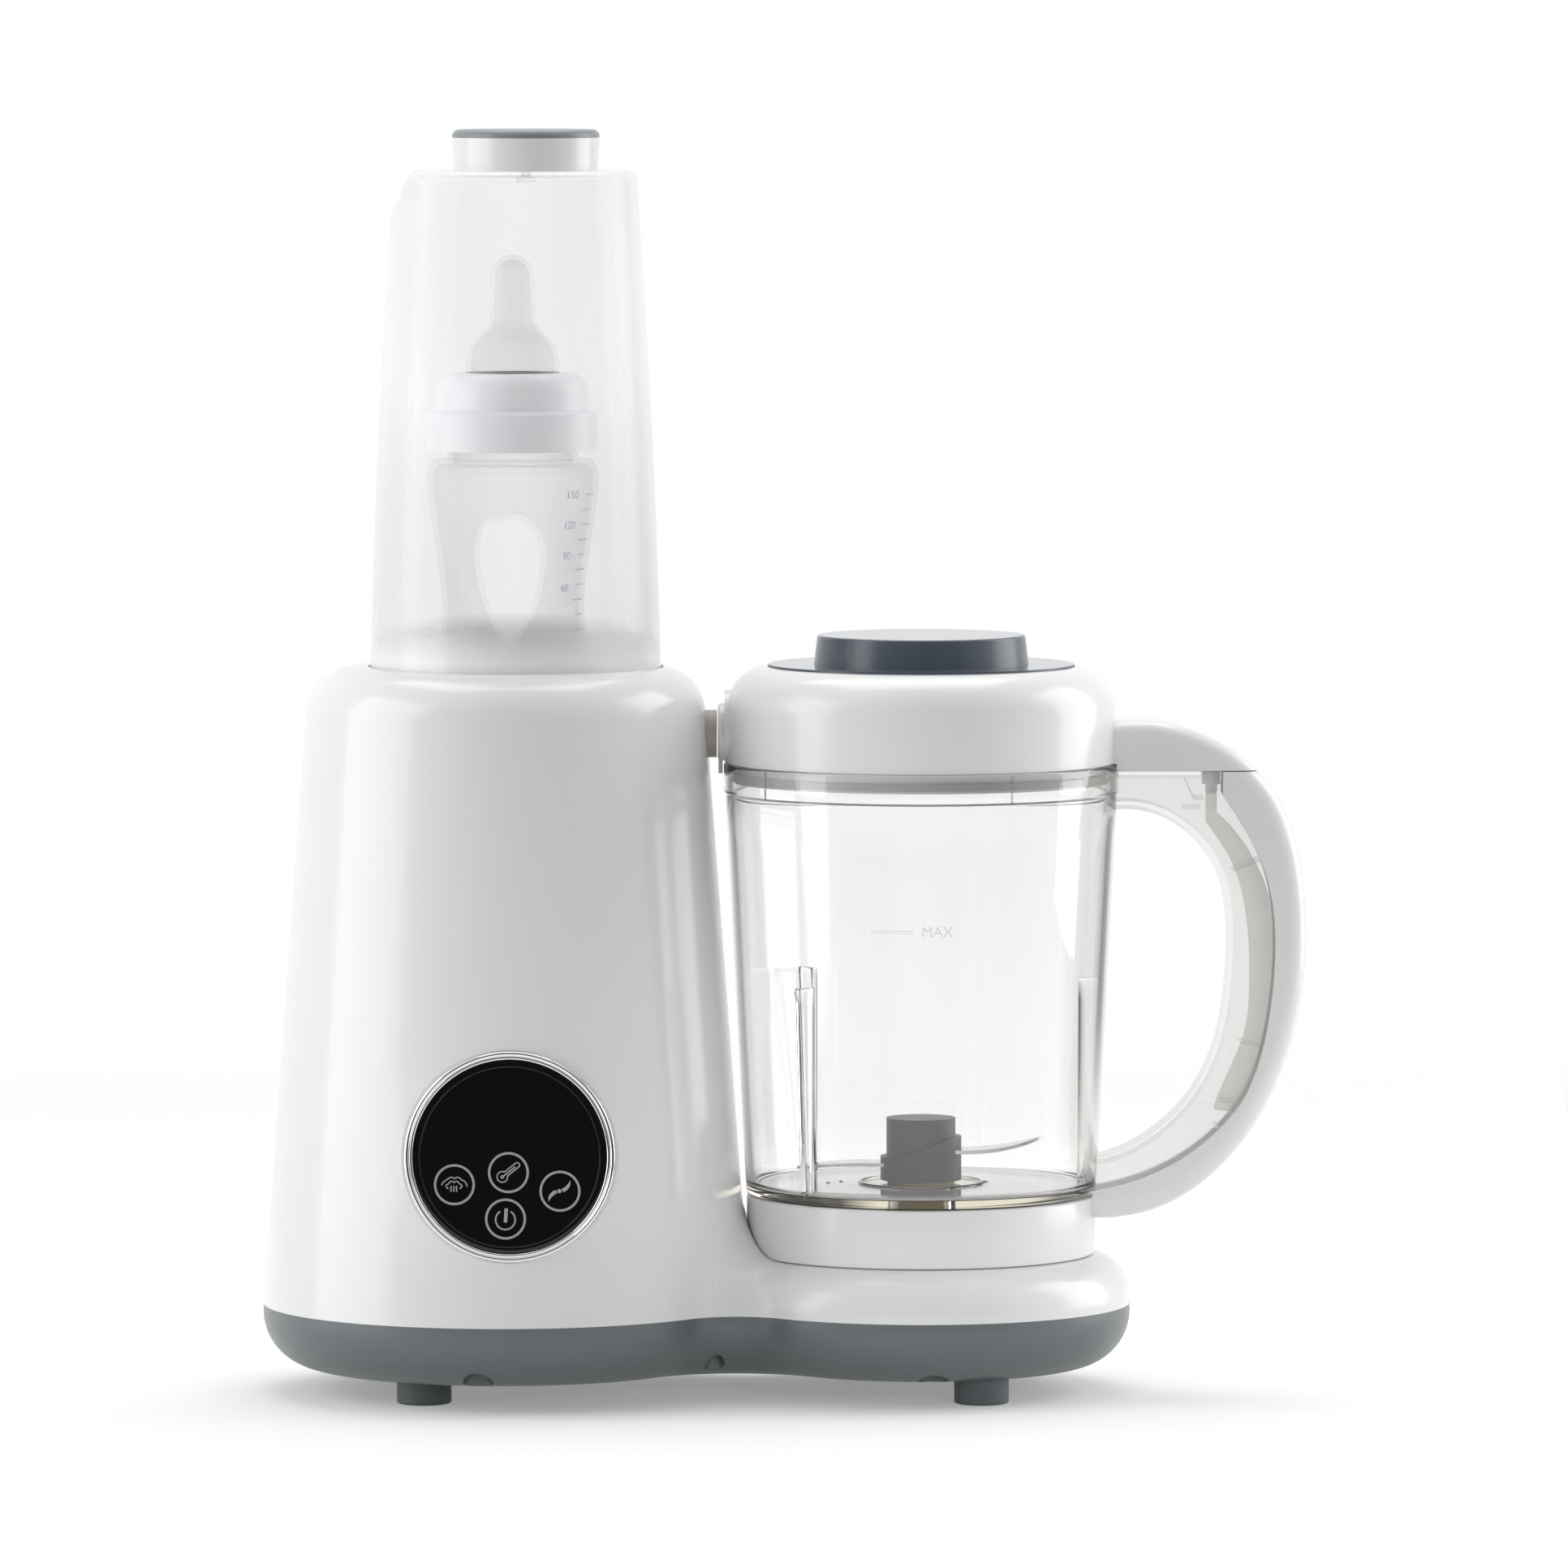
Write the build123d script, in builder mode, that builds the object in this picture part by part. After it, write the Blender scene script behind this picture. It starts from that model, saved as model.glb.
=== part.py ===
from build123d import *
import math
import os

os.makedirs("parts", exist_ok=True)

# Upright axes of the tower, steam chamber, bottle, motor and jug (x, all at y = 0)
tower_x = -90.8
well_x = -87.5
bottle_x = -88.4
motor_x = -92.0
jug_x = 44.8

# Base: peanut-shaped tray, with the tower on its large lobe and the jug platform on its small one
foot_h = 8.5
seam_z = 29.0
tower_base_r = 79.65
lobe_r = 68.4
waist_r = 20.0
tray_round = 18.0
tray_wall = 2.4
floor_z = foot_h + tray_wall

# White housing over the tray
wall = 2.5
tower_top_z = 237.5
tower_slope = 0.075
tower_shoulder = 16.0
platform_z = 45.5
platform_shoulder = 14.0
pocket_r = 57.6

# Screws that hold the tray to the housing, each at the bottom of a deep round well
screw_wells = [(-22.5, 39.6, 3.2), (-98.4, 69.2, 5.0), (48.3, 55.6, 5.0)]
screw_wells += [(x, -y, radius) for x, y, radius in screw_wells]
screw_spots = [(x, y) for x, y, radius in screw_wells]
foot_spots = [(x, y) for x in (-116.8, 64.1) for y in (-37, 37)]
foot_r = 8.9

# Control panel on the tower front, leaning back with the wall
panel_x = -88.0
panel_z = 84.0
panel_y = -74.6
panel_lean = math.degrees(math.atan(tower_slope))
bezel_r = 34.1
glass_r = 31.1

# Steam chamber in the tower top
well_r = 44.5
well_wall = 1.8
well_floor = 174.0
well_rim_z = 231.0
stand_z = 197.2
nozzle_z = 215.3

# Translucent hood, its slanted facet and its knob
hood_low = 233.2
hood_top = 399.0
hood_wall = 2.0
knob_x = -84.0
facet_high = (-120.8, hood_top)
facet_low = (-127.7, 384.5)

# Drive line: motor in the tower, flat belt to the jug's drive shaft
pulley_low = 15.0
pulley_high = 27.0
motor_pulley_r = 9.0
drive_pulley_r = 22.0
mount_z = 42.0
belt_thick = 1.5

# Jug, its white collar and its lid
collar_r = 57.0
collar_low = platform_z + 0.1
jug_low = 64.5
jug_low_r = 57.2
jug_slope = 0.051
jug_wall = 2.5
rim_low = 196.4
rim_top = 206.0
rim_r = 64.5
jug_floor = 67.6
lid_low = 206.2
lid_top = 237.5
lid_r = 63.5

# Handle, 25 wide across y
grip_half = 12.5
channel_half = 10.5
hollow_half = 8.3
handle_wall = 2.4
handle_top = 203.6
reach = 170.45


def tower_radius(z):
    return 77.6 - tower_slope * (z - 56.9)


def jug_radius(z):
    return jug_low_r + jug_slope * (z - jug_low)


def upright(x, around=0):
    # Plane through the upright axis at x: first coordinate is radius, second is height
    angle = math.radians(around)
    return Plane(
        origin=(x, 0, 0),
        x_dir=(math.cos(angle), math.sin(angle), 0),
        z_dir=(math.sin(angle), -math.cos(angle), 0),
    )


def turn(x, *corners, mode=Mode.ADD, start=0, arc=360):
    # Sweeps a closed outline of (radius, height) corners about the upright line at x
    with BuildSketch(upright(x, start)) as outline:
        with BuildLine():
            Polyline(*corners, close=True)
        make_face()
    revolve(outline.sketch, axis=Axis((x, 0, 0), (0, 0, 1)), revolution_arc=arc, mode=mode)


def ring(x, inner, outer, low, high, mode=Mode.ADD):
    turn(x, (inner, low), (outer, low), (outer, high), (inner, high), mode=mode)


def post(x, y, radius, low, high, mode=Mode.ADD):
    with Locations((x, y, low)):
        Cylinder(radius, high - low, align=(Align.CENTER, Align.CENTER, Align.MIN), mode=mode)


def block(x, y, width, depth, low, high, mode=Mode.ADD):
    with Locations((x, y, low)):
        Box(width, depth, high - low, align=(Align.CENTER, Align.CENTER, Align.MIN), mode=mode)


def bar(low_x, high_x, z, radius, mode=Mode.ADD):
    # A round bar along X at y = 0
    with Locations(Location((low_x, 0, z), (0, 90, 0))):
        Cylinder(radius, high_x - low_x, align=(Align.CENTER, Align.CENTER, Align.MIN), mode=mode)


def peanut(inset):
    # Footprint of the base, drawn in by inset
    with BuildSketch() as plan:
        with Locations((tower_x, 0)):
            Circle(tower_base_r - inset)
        with Locations((jug_x, 0)):
            Circle(lobe_r - inset)
        fillet(plan.vertices(), waist_r + inset)
    return plan.sketch


def tray_form(inset):
    # The tray's outer skin drawn in by inset; a drawn-in one is left 2 mm taller, to cut with
    high = seam_z + (2 if inset else 0)
    with BuildPart() as form:
        with BuildSketch(Plane.XY.offset(foot_h + inset)):
            add(peanut(inset))
        extrude(amount=high - foot_h - inset)
        fillet(form.edges().group_by(Axis.Z)[0], tray_round - inset)
    return form.part


def housing_form(inset):
    # Skin of tower and platform drawn in by inset, blended where they meet, with the jug's pocket
    low = seam_z - (2 if inset else 0)
    top = tower_top_z - inset
    shelf = platform_z - inset
    with BuildPart() as tower:
        turn(
            tower_x,
            (0, low),
            (tower_radius(low) - inset, low),
            (tower_radius(top) - inset, top),
            (0, top),
        )
        fillet(tower.edges().sort_by(Axis.Z)[-1], tower_shoulder - inset)
    with BuildPart() as platform:
        turn(jug_x, (0, low), (lobe_r - inset, low), (lobe_r - inset, shelf), (0, shelf))
        fillet(platform.edges().sort_by(Axis.Z)[-1], platform_shoulder - inset)
    with BuildPart() as form:
        add(tower.part)
        add(platform.part)
        meeting = [
            edge
            for edge in form.edges().filter_by(GeomType.BSPLINE)
            if tower_x < edge.center().X < jug_x
        ]
        fillet(meeting, waist_r + inset)
        post(jug_x, 0, pocket_r + inset, shelf, tower_top_z + 20, mode=Mode.SUBTRACT)
    return form.part


housing_outer = housing_form(0)
housing_inner = housing_form(wall)
tray_outer = tray_form(0)

# Base tray: floor, screw wells, posts for motor and board, switch pad and foot sockets
post_reach = 28.0
motor_posts = [(motor_x + sx * post_reach, sy * post_reach) for sx in (-1, 1) for sy in (-1, 1)]
board_y = 50.0
board_low = 34.0
board_w = 80.0
board_thick = 1.6
switch_x = jug_x + 50
gland_x = tower_x + 7.5
with BuildPart() as reach_of_posts:
    add(tray_outer)
    post(tower_x, 0, 72, seam_z, 80)
with BuildPart() as tray_posts:
    for x, y, radius in screw_wells:
        post(x, y, radius + 2, foot_h, seam_z)
    for x, y in motor_posts:
        post(x, y, 5, foot_h, mount_z - 4)
    for x in (tower_x - board_w / 2, tower_x + board_w / 2):
        block(x, board_y, 7, 7, foot_h, 64)
    block(switch_x, 0, 17, 14, foot_h, 20)
    add(reach_of_posts.part, mode=Mode.INTERSECT)
with BuildPart() as base_tray:
    add(tray_outer)
    add(tray_form(tray_wall), mode=Mode.SUBTRACT)
    add(tray_posts.part)
    for x, y, radius in screw_wells:
        post(x, y, radius, foot_h - 1, 22, mode=Mode.SUBTRACT)
        post(x, y, 1.8, 21, seam_z + 1, mode=Mode.SUBTRACT)
    for x, y in motor_posts:
        post(x, y, 1.5, 26, mount_z, mode=Mode.SUBTRACT)
    for x, y in foot_spots:
        post(x, y, 3.05, foot_h - 1, floor_z + 1, mode=Mode.SUBTRACT)
    block(tower_x, board_y, board_w, board_thick + 0.1, board_low, 70, mode=Mode.SUBTRACT)
    with Locations((motor_x, 0, foot_h)):
        with GridLocations(9, 0, 4, 1):
            Box(4, 34, 3 * tray_wall, mode=Mode.SUBTRACT)
    with Locations(Location((gland_x, tower_base_r - 12, seam_z), (-90, 0, 0))):
        Cylinder(6.05, 20, align=(Align.CENTER, Align.CENTER, Align.MIN), mode=Mode.SUBTRACT)
base_tray.part.label = "base_tray"
export_step(base_tray.part, "parts/base_tray.step")

# Feet, pushed into the tray floor
with BuildPart() as rubber_feet:
    for x, y in foot_spots:
        post(x, y, foot_r, 0, foot_h)
    fillet(rubber_feet.edges().group_by(Axis.Z)[0], 0.9)
    for x, y in foot_spots:
        post(x, y, 3.0, foot_h, floor_z)
        with Locations((x, y, floor_z)):
            Cone(4.2, 2.6, 2.4, align=(Align.CENTER, Align.CENTER, Align.MIN))
rubber_feet.part.label = "rubber_feet"
export_step(rubber_feet.part, "parts/rubber_feet.step")

# Tray screws
with BuildPart() as tray_screws:
    for x, y in screw_spots:
        post(x, y, 2.9, 19.8, 22)
        post(x, y, 1.45, 22, 38)
        block(x, y, 0.7, 4, 19, 20.9, mode=Mode.SUBTRACT)
        block(x, y, 4, 0.7, 19, 20.9, mode=Mode.SUBTRACT)
tray_screws.part.label = "tray_screws"
export_step(tray_screws.part, "parts/tray_screws.step")

# Main housing: one white shell with the chamber seat, panel pad and screw bosses inside
panel_plane = Plane(
    origin=(panel_x, panel_y, panel_z),
    x_dir=(1, 0, 0),
    z_dir=(0, -math.cos(math.radians(panel_lean)), math.sin(math.radians(panel_lean))),
)
pin_x = switch_x
board_open_r = glass_r - 1.6
with BuildPart() as inside:
    for x, y in screw_spots:
        boss_top = 41 if x > 0 else 52
        post(x, y, 3.6, seam_z, boss_top)
        middle = jug_x if x > 0 else tower_x
        away = math.degrees(math.atan2(y, x - middle)) if x != -22.5 else math.copysign(90, y)
        with Locations(Location((x, y, seam_z), (0, 0, away))):
            Box(14, 2, boss_top - seam_z, align=(Align.MIN, Align.CENTER, Align.MIN))
    ring(well_x, 45.5, 50.7, 228.8, well_rim_z)
    ring(well_x, 48.3, 50.7, well_rim_z, 236.6)
    with BuildSketch(panel_plane):
        Circle(bezel_r + 0.8)
        Circle(board_open_r, mode=Mode.SUBTRACT)
    extrude(amount=-16)
    post(jug_x, 0, 12, 29.6, platform_z)
    post(pin_x, 0, 5.5, 41, platform_z)
    add(housing_outer, mode=Mode.INTERSECT)
with BuildPart() as main_housing:
    add(housing_outer)
    add(housing_inner, mode=Mode.SUBTRACT)
    add(inside.part)
    with BuildSketch(panel_plane):
        Circle(bezel_r + 0.8)
        Circle(board_open_r, mode=Mode.SUBTRACT)
    extrude(amount=-12)
    with BuildSketch(panel_plane):
        Circle(board_open_r)
    extrude(amount=-30, mode=Mode.SUBTRACT)
    with BuildSketch(panel_plane):
        Circle(bezel_r + 0.05)
    extrude(amount=6, mode=Mode.SUBTRACT)
    post(well_x, 0, 48.3, well_rim_z, tower_top_z + 1, mode=Mode.SUBTRACT)
    bar(-40, -15, nozzle_z, 6.0, mode=Mode.SUBTRACT)
    post(jug_x, 0, 8.0, 29, platform_z + 1, mode=Mode.SUBTRACT)
    post(pin_x, 0, 2.7, 40, platform_z + 1, mode=Mode.SUBTRACT)
    for x, y in screw_spots:
        post(x, y, 1.5, seam_z - 1, 39.5, mode=Mode.SUBTRACT)
    with Locations(Location((gland_x, tower_base_r - 12, seam_z), (-90, 0, 0))):
        Cylinder(6.05, 20, align=(Align.CENTER, Align.CENTER, Align.MIN), mode=Mode.SUBTRACT)
main_housing.part.label = "main_housing"
export_step(main_housing.part, "parts/main_housing.step")

# Control panel: chrome bezel, dark glass and the touch board behind it
with BuildPart() as panel_bezel:
    with BuildSketch(panel_plane):
        Circle(bezel_r)
        Circle(glass_r + 0.1, mode=Mode.SUBTRACT)
    extrude(amount=2.4)
    fillet(panel_bezel.edges().sort_by(Axis(panel_plane.origin, panel_plane.z_dir))[-2:], 1.0)
panel_bezel.part.label = "panel_bezel"
export_step(panel_bezel.part, "parts/panel_bezel.step")

with BuildPart() as panel_glass:
    with BuildSketch(panel_plane):
        Circle(glass_r)
    extrude(amount=1.6)
    fillet(panel_glass.edges().sort_by(Axis(panel_plane.origin, panel_plane.z_dir))[-1], 0.4)
panel_glass.part.label = "panel_glass"
export_step(panel_glass.part, "parts/panel_glass.step")

with BuildPart() as touch_board:
    with BuildSketch(panel_plane):
        Circle(glass_r - 1.9)
    extrude(amount=-1.6)
    with BuildSketch(panel_plane.offset(-1.6)):
        with GridLocations(14, 12, 3, 2):
            Rectangle(6, 5)
        with Locations((0, -20)):
            Rectangle(16, 5)
    extrude(amount=-2)
touch_board.part.label = "touch_board"
export_step(touch_board.part, "parts/touch_board.step")

# Steam chamber bowl with its rim on the housing's ledge
seal_in = 36.0
seal_out = 38.2
screw_circle = 40.3
with BuildPart() as steam_well:
    turn(
        well_x,
        (35.7, well_floor - 4),
        (well_r, well_floor - 4),
        (well_r, well_rim_z),
        (47.9, well_rim_z),
        (47.9, well_rim_z + 2),
        (well_r - well_wall, well_rim_z + 2),
        (well_r - well_wall, well_floor),
        (35.7, well_floor),
    )
    ring(well_x, seal_in, seal_out, well_floor - 4, well_floor - 2.8, mode=Mode.SUBTRACT)
    bar(well_x + 40, well_x + well_r + 1, nozzle_z, 5.0, mode=Mode.SUBTRACT)
    with Locations((well_x, 0, well_floor - 4)):
        with PolarLocations(screw_circle, 4, 45):
            Cylinder(1.25, 3, align=(Align.CENTER, Align.CENTER, Align.MIN), mode=Mode.SUBTRACT)
steam_well.part.label = "steam_well"
export_step(steam_well.part, "parts/steam_well.step")

# Heater plate closes the bowl's floor from below; the element is cast into its underside
with BuildPart() as heater_plate:
    turn(
        well_x,
        (0, 172.6),
        (33.6, 172.6),
        (33.6, 168.2),
        (42, 168.2),
        (42, 170),
        (35.5, 170),
        (35.5, 174.4),
        (0, 174.4),
    )
    with Locations((well_x, 0, 168)):
        with PolarLocations(screw_circle, 4, 45):
            Cylinder(1.3, 3, align=(Align.CENTER, Align.CENTER, Align.MIN), mode=Mode.SUBTRACT)
heater_plate.part.label = "heater_plate"
export_step(heater_plate.part, "parts/heater_plate.step")

with BuildPart() as heater_seal:
    ring(well_x, seal_in + 0.05, seal_out - 0.05, 170, 171.2)
heater_seal.part.label = "heater_seal"
export_step(heater_seal.part, "parts/heater_seal.step")

with BuildPart() as heater_screws:
    with Locations((well_x, 0, 166.4)):
        with PolarLocations(screw_circle, 4, 45):
            Cylinder(1.2, 6, align=(Align.CENTER, Align.CENTER, Align.MIN))
            Cylinder(2.6, 1.8, align=(Align.CENTER, Align.CENTER, Align.MIN))
heater_screws.part.label = "heater_screws"
export_step(heater_screws.part, "parts/heater_screws.step")

element_r = 26.0
lead_x = [well_x + sx * element_r * math.sin(math.radians(23)) for sx in (-1, 1)]
lead_y = element_r * math.cos(math.radians(23))
with BuildPart() as heating_element:
    turn(
        well_x,
        (element_r - 4, 167),
        (element_r - 2, 165.4),
        (element_r + 2, 165.4),
        (element_r + 4, 167),
        (element_r + 4, 172.6),
        (element_r - 4, 172.6),
        start=110,
        arc=320,
    )
    for x in lead_x:
        post(x, lead_y, 1.6, 155, 166.5)
heating_element.part.label = "heating_element"
export_step(heating_element.part, "parts/heating_element.step")

with BuildPart() as thermostat:
    post(well_x, 0, 8, 166.6, 172.6)
    post(well_x, 0, 5, 163, 166.6)
    for side in (-1, 1):
        block(well_x + side * 6, 0, 0.8, 4.8, 157, 166.6)
thermostat.part.label = "thermostat"
export_step(thermostat.part, "parts/thermostat.step")

# Steam duct from the bowl, and the silicone nozzle that meets the lid's port
duct_end = -29.0
with BuildPart() as steam_duct:
    bar(well_x + well_r - 1.7, duct_end, nozzle_z, 5.0)
    bar(well_x + well_r - 3, duct_end + 1, nozzle_z, 3.5, mode=Mode.SUBTRACT)
steam_duct.part.label = "steam_duct"
export_step(steam_duct.part, "parts/steam_duct.step")

nozzle_tip = -21.95
with BuildPart() as steam_nozzle:
    bar(-27.0, nozzle_tip, nozzle_z, 7.75)
    add(housing_outer, mode=Mode.SUBTRACT)
    bar(-34.0, nozzle_tip, nozzle_z, 5.9)
    bar(-35.0, duct_end, nozzle_z, 5.0, mode=Mode.SUBTRACT)
    bar(-30.0, nozzle_tip + 1, nozzle_z, 3.5, mode=Mode.SUBTRACT)
steam_nozzle.part.label = "steam_nozzle"
export_step(steam_nozzle.part, "parts/steam_nozzle.step")

# Bottle stand: perforated plate on three legs in the bowl
with BuildPart() as bottle_stand:
    post(well_x, 0, 41.8, stand_z - 2.4, stand_z)
    with Locations((well_x, 0, well_floor + 0.3)):
        with PolarLocations(39, 3, 60):
            leg_h = stand_z - 2.4 - well_floor - 0.3
            Cylinder(3, leg_h, align=(Align.CENTER, Align.CENTER, Align.MIN))
    ring(bottle_x, 29.4, 31, stand_z, stand_z + 3)
    with Locations((well_x, 0, stand_z - 3)):
        with PolarLocations(36, 12, 15):
            Cylinder(2.6, 8, align=(Align.CENTER, Align.CENTER, Align.MIN), mode=Mode.SUBTRACT)
        with PolarLocations(18, 8):
            Cylinder(4, 4, align=(Align.CENTER, Align.CENTER, Align.MIN), mode=Mode.SUBTRACT)
        Cylinder(6, 4, align=(Align.CENTER, Align.CENTER, Align.MIN), mode=Mode.SUBTRACT)
bottle_stand.part.label = "bottle_stand"
export_step(bottle_stand.part, "parts/bottle_stand.step")

# Feeding bottle: waisted body with a grip hole through it, screw collar and teat
bottle_low = 197.4
neck_r = 21.4
neck_top = 329.4


def bottle_form(inset):
    with BuildPart() as form:
        with BuildSketch(upright(bottle_x)):
            with BuildLine():
                Polyline(
                    (0, bottle_low + inset),
                    (25.5 - inset, bottle_low + inset),
                    (28 - inset, 200.5),
                )
                Spline(
                    (28 - inset, 200.5),
                    (27.8 - inset, 218),
                    (23.3 - inset, 257.5),
                    (27.7 - inset, 294),
                    (28 - inset, 301),
                )
                Polyline(
                    (28 - inset, 301),
                    (26 - inset, 305 - inset),
                    (neck_r - inset, 305.6 - inset),
                    (neck_r - inset, neck_top + inset),
                    (0, neck_top + inset),
                    (0, bottle_low + inset),
                )
            make_face()
        revolve(axis=Axis((bottle_x, 0, 0), (0, 0, 1)))
    return form.part


def egg(grow):
    # Outline of the hole through the bottle, moved outwards from its middle by grow
    side = [(6.6, 284.6), (10.2, 277.5), (9.9, 268), (7.6, 257.5), (4.2, 249.6)]
    outline = [(0, 286.4)] + side + [(0, 246)] + [(-x, z) for x, z in side[::-1]]
    moved = []
    for x, z in outline:
        away = math.hypot(x, z - 267)
        moved.append((x + grow * x / away, z + grow * (z - 267) / away))
    return moved


def grip_tunnel(grow):
    with BuildPart() as tunnel:
        with BuildSketch(upright(-89.4)):
            with BuildLine():
                Spline(*egg(grow), periodic=True)
            make_face()
        extrude(amount=40, both=True)
    return tunnel.part


with BuildPart() as milk_room:
    add(bottle_form(1.8))
    add(grip_tunnel(1.8), mode=Mode.SUBTRACT)
with BuildPart() as bottle_body:
    add(bottle_form(0))
    add(milk_room.part, mode=Mode.SUBTRACT)
    add(grip_tunnel(0), mode=Mode.SUBTRACT)
bottle_body.part.label = "bottle_body"
export_step(bottle_body.part, "parts/bottle_body.step")

with BuildPart() as bottle_collar:
    turn(
        bottle_x,
        (neck_r + 0.2, 308),
        (28, 308),
        (28, 320.2),
        (24.8, 321.4),
        (24.8, 333.2),
        (15.5, 333.2),
        (15.5, 331.4),
        (neck_r + 0.2, 331.4),
    )
    fillet(bottle_collar.edges().group_by(Axis.Z)[-1].sort_by(SortBy.LENGTH)[-1], 5.5)
bottle_collar.part.label = "bottle_collar"
export_step(bottle_collar.part, "parts/bottle_collar.step")


def teat_form(inset):
    tip_r = 7.3 - inset
    low = neck_top + 0.2 - 3 * inset
    with BuildPart() as form:
        with BuildSketch(upright(bottle_x)):
            with BuildLine():
                Polyline((0, low), (15.2 - inset, low), (15.2 - inset, 335))
                Spline(
                    (15.2 - inset, 335),
                    (12.6 - inset, 343.5),
                    (tip_r + 0.3, 352.5),
                    tangents=[(0, 1), (0, 1)],
                )
                Line((tip_r + 0.3, 352.5), (tip_r, 364.2))
                ThreePointArc(
                    (tip_r, 364.2),
                    (tip_r * math.sin(math.pi / 4), 364.2 + tip_r * math.cos(math.pi / 4)),
                    (0, 364.2 + tip_r),
                )
                Line((0, 364.2 + tip_r), (0, low))
            make_face()
        revolve(axis=Axis((bottle_x, 0, 0), (0, 0, 1)))
    return form.part


with BuildPart() as bottle_teat:
    add(teat_form(0))
    ring(bottle_x, 14, neck_r - 0.6, neck_top + 0.2, 331.4)
    add(teat_form(1.5), mode=Mode.SUBTRACT)
bottle_teat.part.label = "bottle_teat"
export_step(bottle_teat.part, "parts/bottle_teat.step")

# Hood: tapered shell with a slanted vent facet at the top, away from the jug
facet_run = (facet_high[0] - facet_low[0], facet_high[1] - facet_low[1])
facet_length = math.hypot(*facet_run)
facet_normal = (-facet_run[1] / facet_length, 0, facet_run[0] / facet_length)
facet_slope = (facet_run[0] / facet_length, 0, facet_run[1] / facet_length)


def hood_radius(z):
    share = (z - hood_low) / (hood_top - hood_low)
    return 47.4 - 3.7 * share - 4.1 * share**2


def facet_plane(inset, along=0):
    # Plane of the facet, drawn in by inset, its origin moved up the facet by along
    origin = Vector(facet_low[0], 0, facet_low[1]) - Vector(*facet_normal) * inset
    origin += Vector(*facet_slope) * along
    return Plane(origin=origin, x_dir=(0, 1, 0), z_dir=facet_normal)


def hood_form(inset):
    low = hood_low - (1 if inset else 0)
    top = hood_top - inset
    heights = [low + (top - low) * step / 3 for step in range(4)]
    with BuildPart() as form:
        with BuildSketch(upright(well_x)):
            with BuildLine():
                Spline(*[(hood_radius(z) - inset, z) for z in heights])
                Polyline(
                    (hood_radius(top) - inset, top),
                    (0, top),
                    (0, low),
                    (hood_radius(low) - inset, low),
                )
            make_face()
        revolve(axis=Axis((well_x, 0, 0), (0, 0, 1)))
        fillet(form.edges().sort_by(Axis.Z)[-1], 3.0 - inset / 2)
        with BuildSketch(facet_plane(inset)):
            Rectangle(120, 120)
        extrude(amount=30, mode=Mode.SUBTRACT)
    return form.part


with BuildPart() as hood_shell:
    add(hood_form(0))
    add(hood_form(hood_wall), mode=Mode.SUBTRACT)
    with BuildSketch(facet_plane(0, along=8.5)):
        with GridLocations(0, 4.2, 1, 3):
            SlotOverall(15, 1.8)
    extrude(amount=-4, mode=Mode.SUBTRACT)
    post(knob_x, 0, 1.7, hood_top - 4, hood_top + 1, mode=Mode.SUBTRACT)
hood_shell.part.label = "hood_shell"
export_step(hood_shell.part, "parts/hood_shell.step")

knob_low = hood_top + 0.02
cap_z = 409.7
with BuildPart() as hood_knob:
    turn(
        knob_x,
        (21.6, knob_low),
        (23.6, knob_low),
        (24.1, cap_z),
        (0, cap_z),
        (0, cap_z - 2.2),
        (21.9, cap_z - 2.2),
    )
    post(knob_x, 0, 4.5, knob_low, cap_z - 1)
    post(knob_x, 0, 1.3, knob_low - 1, cap_z - 3, mode=Mode.SUBTRACT)
hood_knob.part.label = "hood_knob"
export_step(hood_knob.part, "parts/hood_knob.step")

with BuildPart() as knob_cap:
    post(knob_x, 0, 24.0, cap_z, 412.3)
    fillet(knob_cap.edges().sort_by(Axis.Z)[-1], 2.2)
knob_cap.part.label = "knob_cap"
export_step(knob_cap.part, "parts/knob_cap.step")

with BuildPart() as hood_screw:
    post(knob_x, 0, 3, hood_top - hood_wall - 1.8, hood_top - hood_wall)
    post(knob_x, 0, 1.25, hood_top - hood_wall, 406)
hood_screw.part.label = "hood_screw"
export_step(hood_screw.part, "parts/hood_screw.step")

# Motor, on a plate with four grommets over the tray's posts
grommet_r = 5.5
plate_z = mount_z + 3
can_r = 30.0
can_top = 106.0
shaft_r = 3.0
with BuildPart() as motor_mount:
    with BuildSketch(Plane.XY.offset(mount_z)):
        with Locations((motor_x, 0)):
            RectangleRounded(74, 74, 9)
            Circle(8, mode=Mode.SUBTRACT)
        with Locations(*motor_posts):
            Circle(3.2, mode=Mode.SUBTRACT)
    extrude(amount=3)
motor_mount.part.label = "motor_mount"
export_step(motor_mount.part, "parts/motor_mount.step")

with BuildPart() as motor_grommets:
    for x, y in motor_posts:
        post(x, y, grommet_r, mount_z - 4, mount_z)
        post(x, y, 3.15, mount_z, plate_z)
        post(x, y, grommet_r, plate_z, plate_z + 1.5)
        post(x, y, 1.7, mount_z - 5, plate_z + 2, mode=Mode.SUBTRACT)
motor_grommets.part.label = "motor_grommets"
export_step(motor_grommets.part, "parts/motor_grommets.step")

with BuildPart() as motor_screws:
    for x, y in motor_posts:
        post(x, y, 1.45, 28, plate_z + 1.5)
        post(x, y, 5, plate_z + 1.5, plate_z + 2.3)
        post(x, y, 3, plate_z + 2.3, plate_z + 4.3)
        block(x, y, 0.7, 4, plate_z + 3.2, plate_z + 5, mode=Mode.SUBTRACT)
motor_screws.part.label = "motor_screws"
export_step(motor_screws.part, "parts/motor_screws.step")

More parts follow.
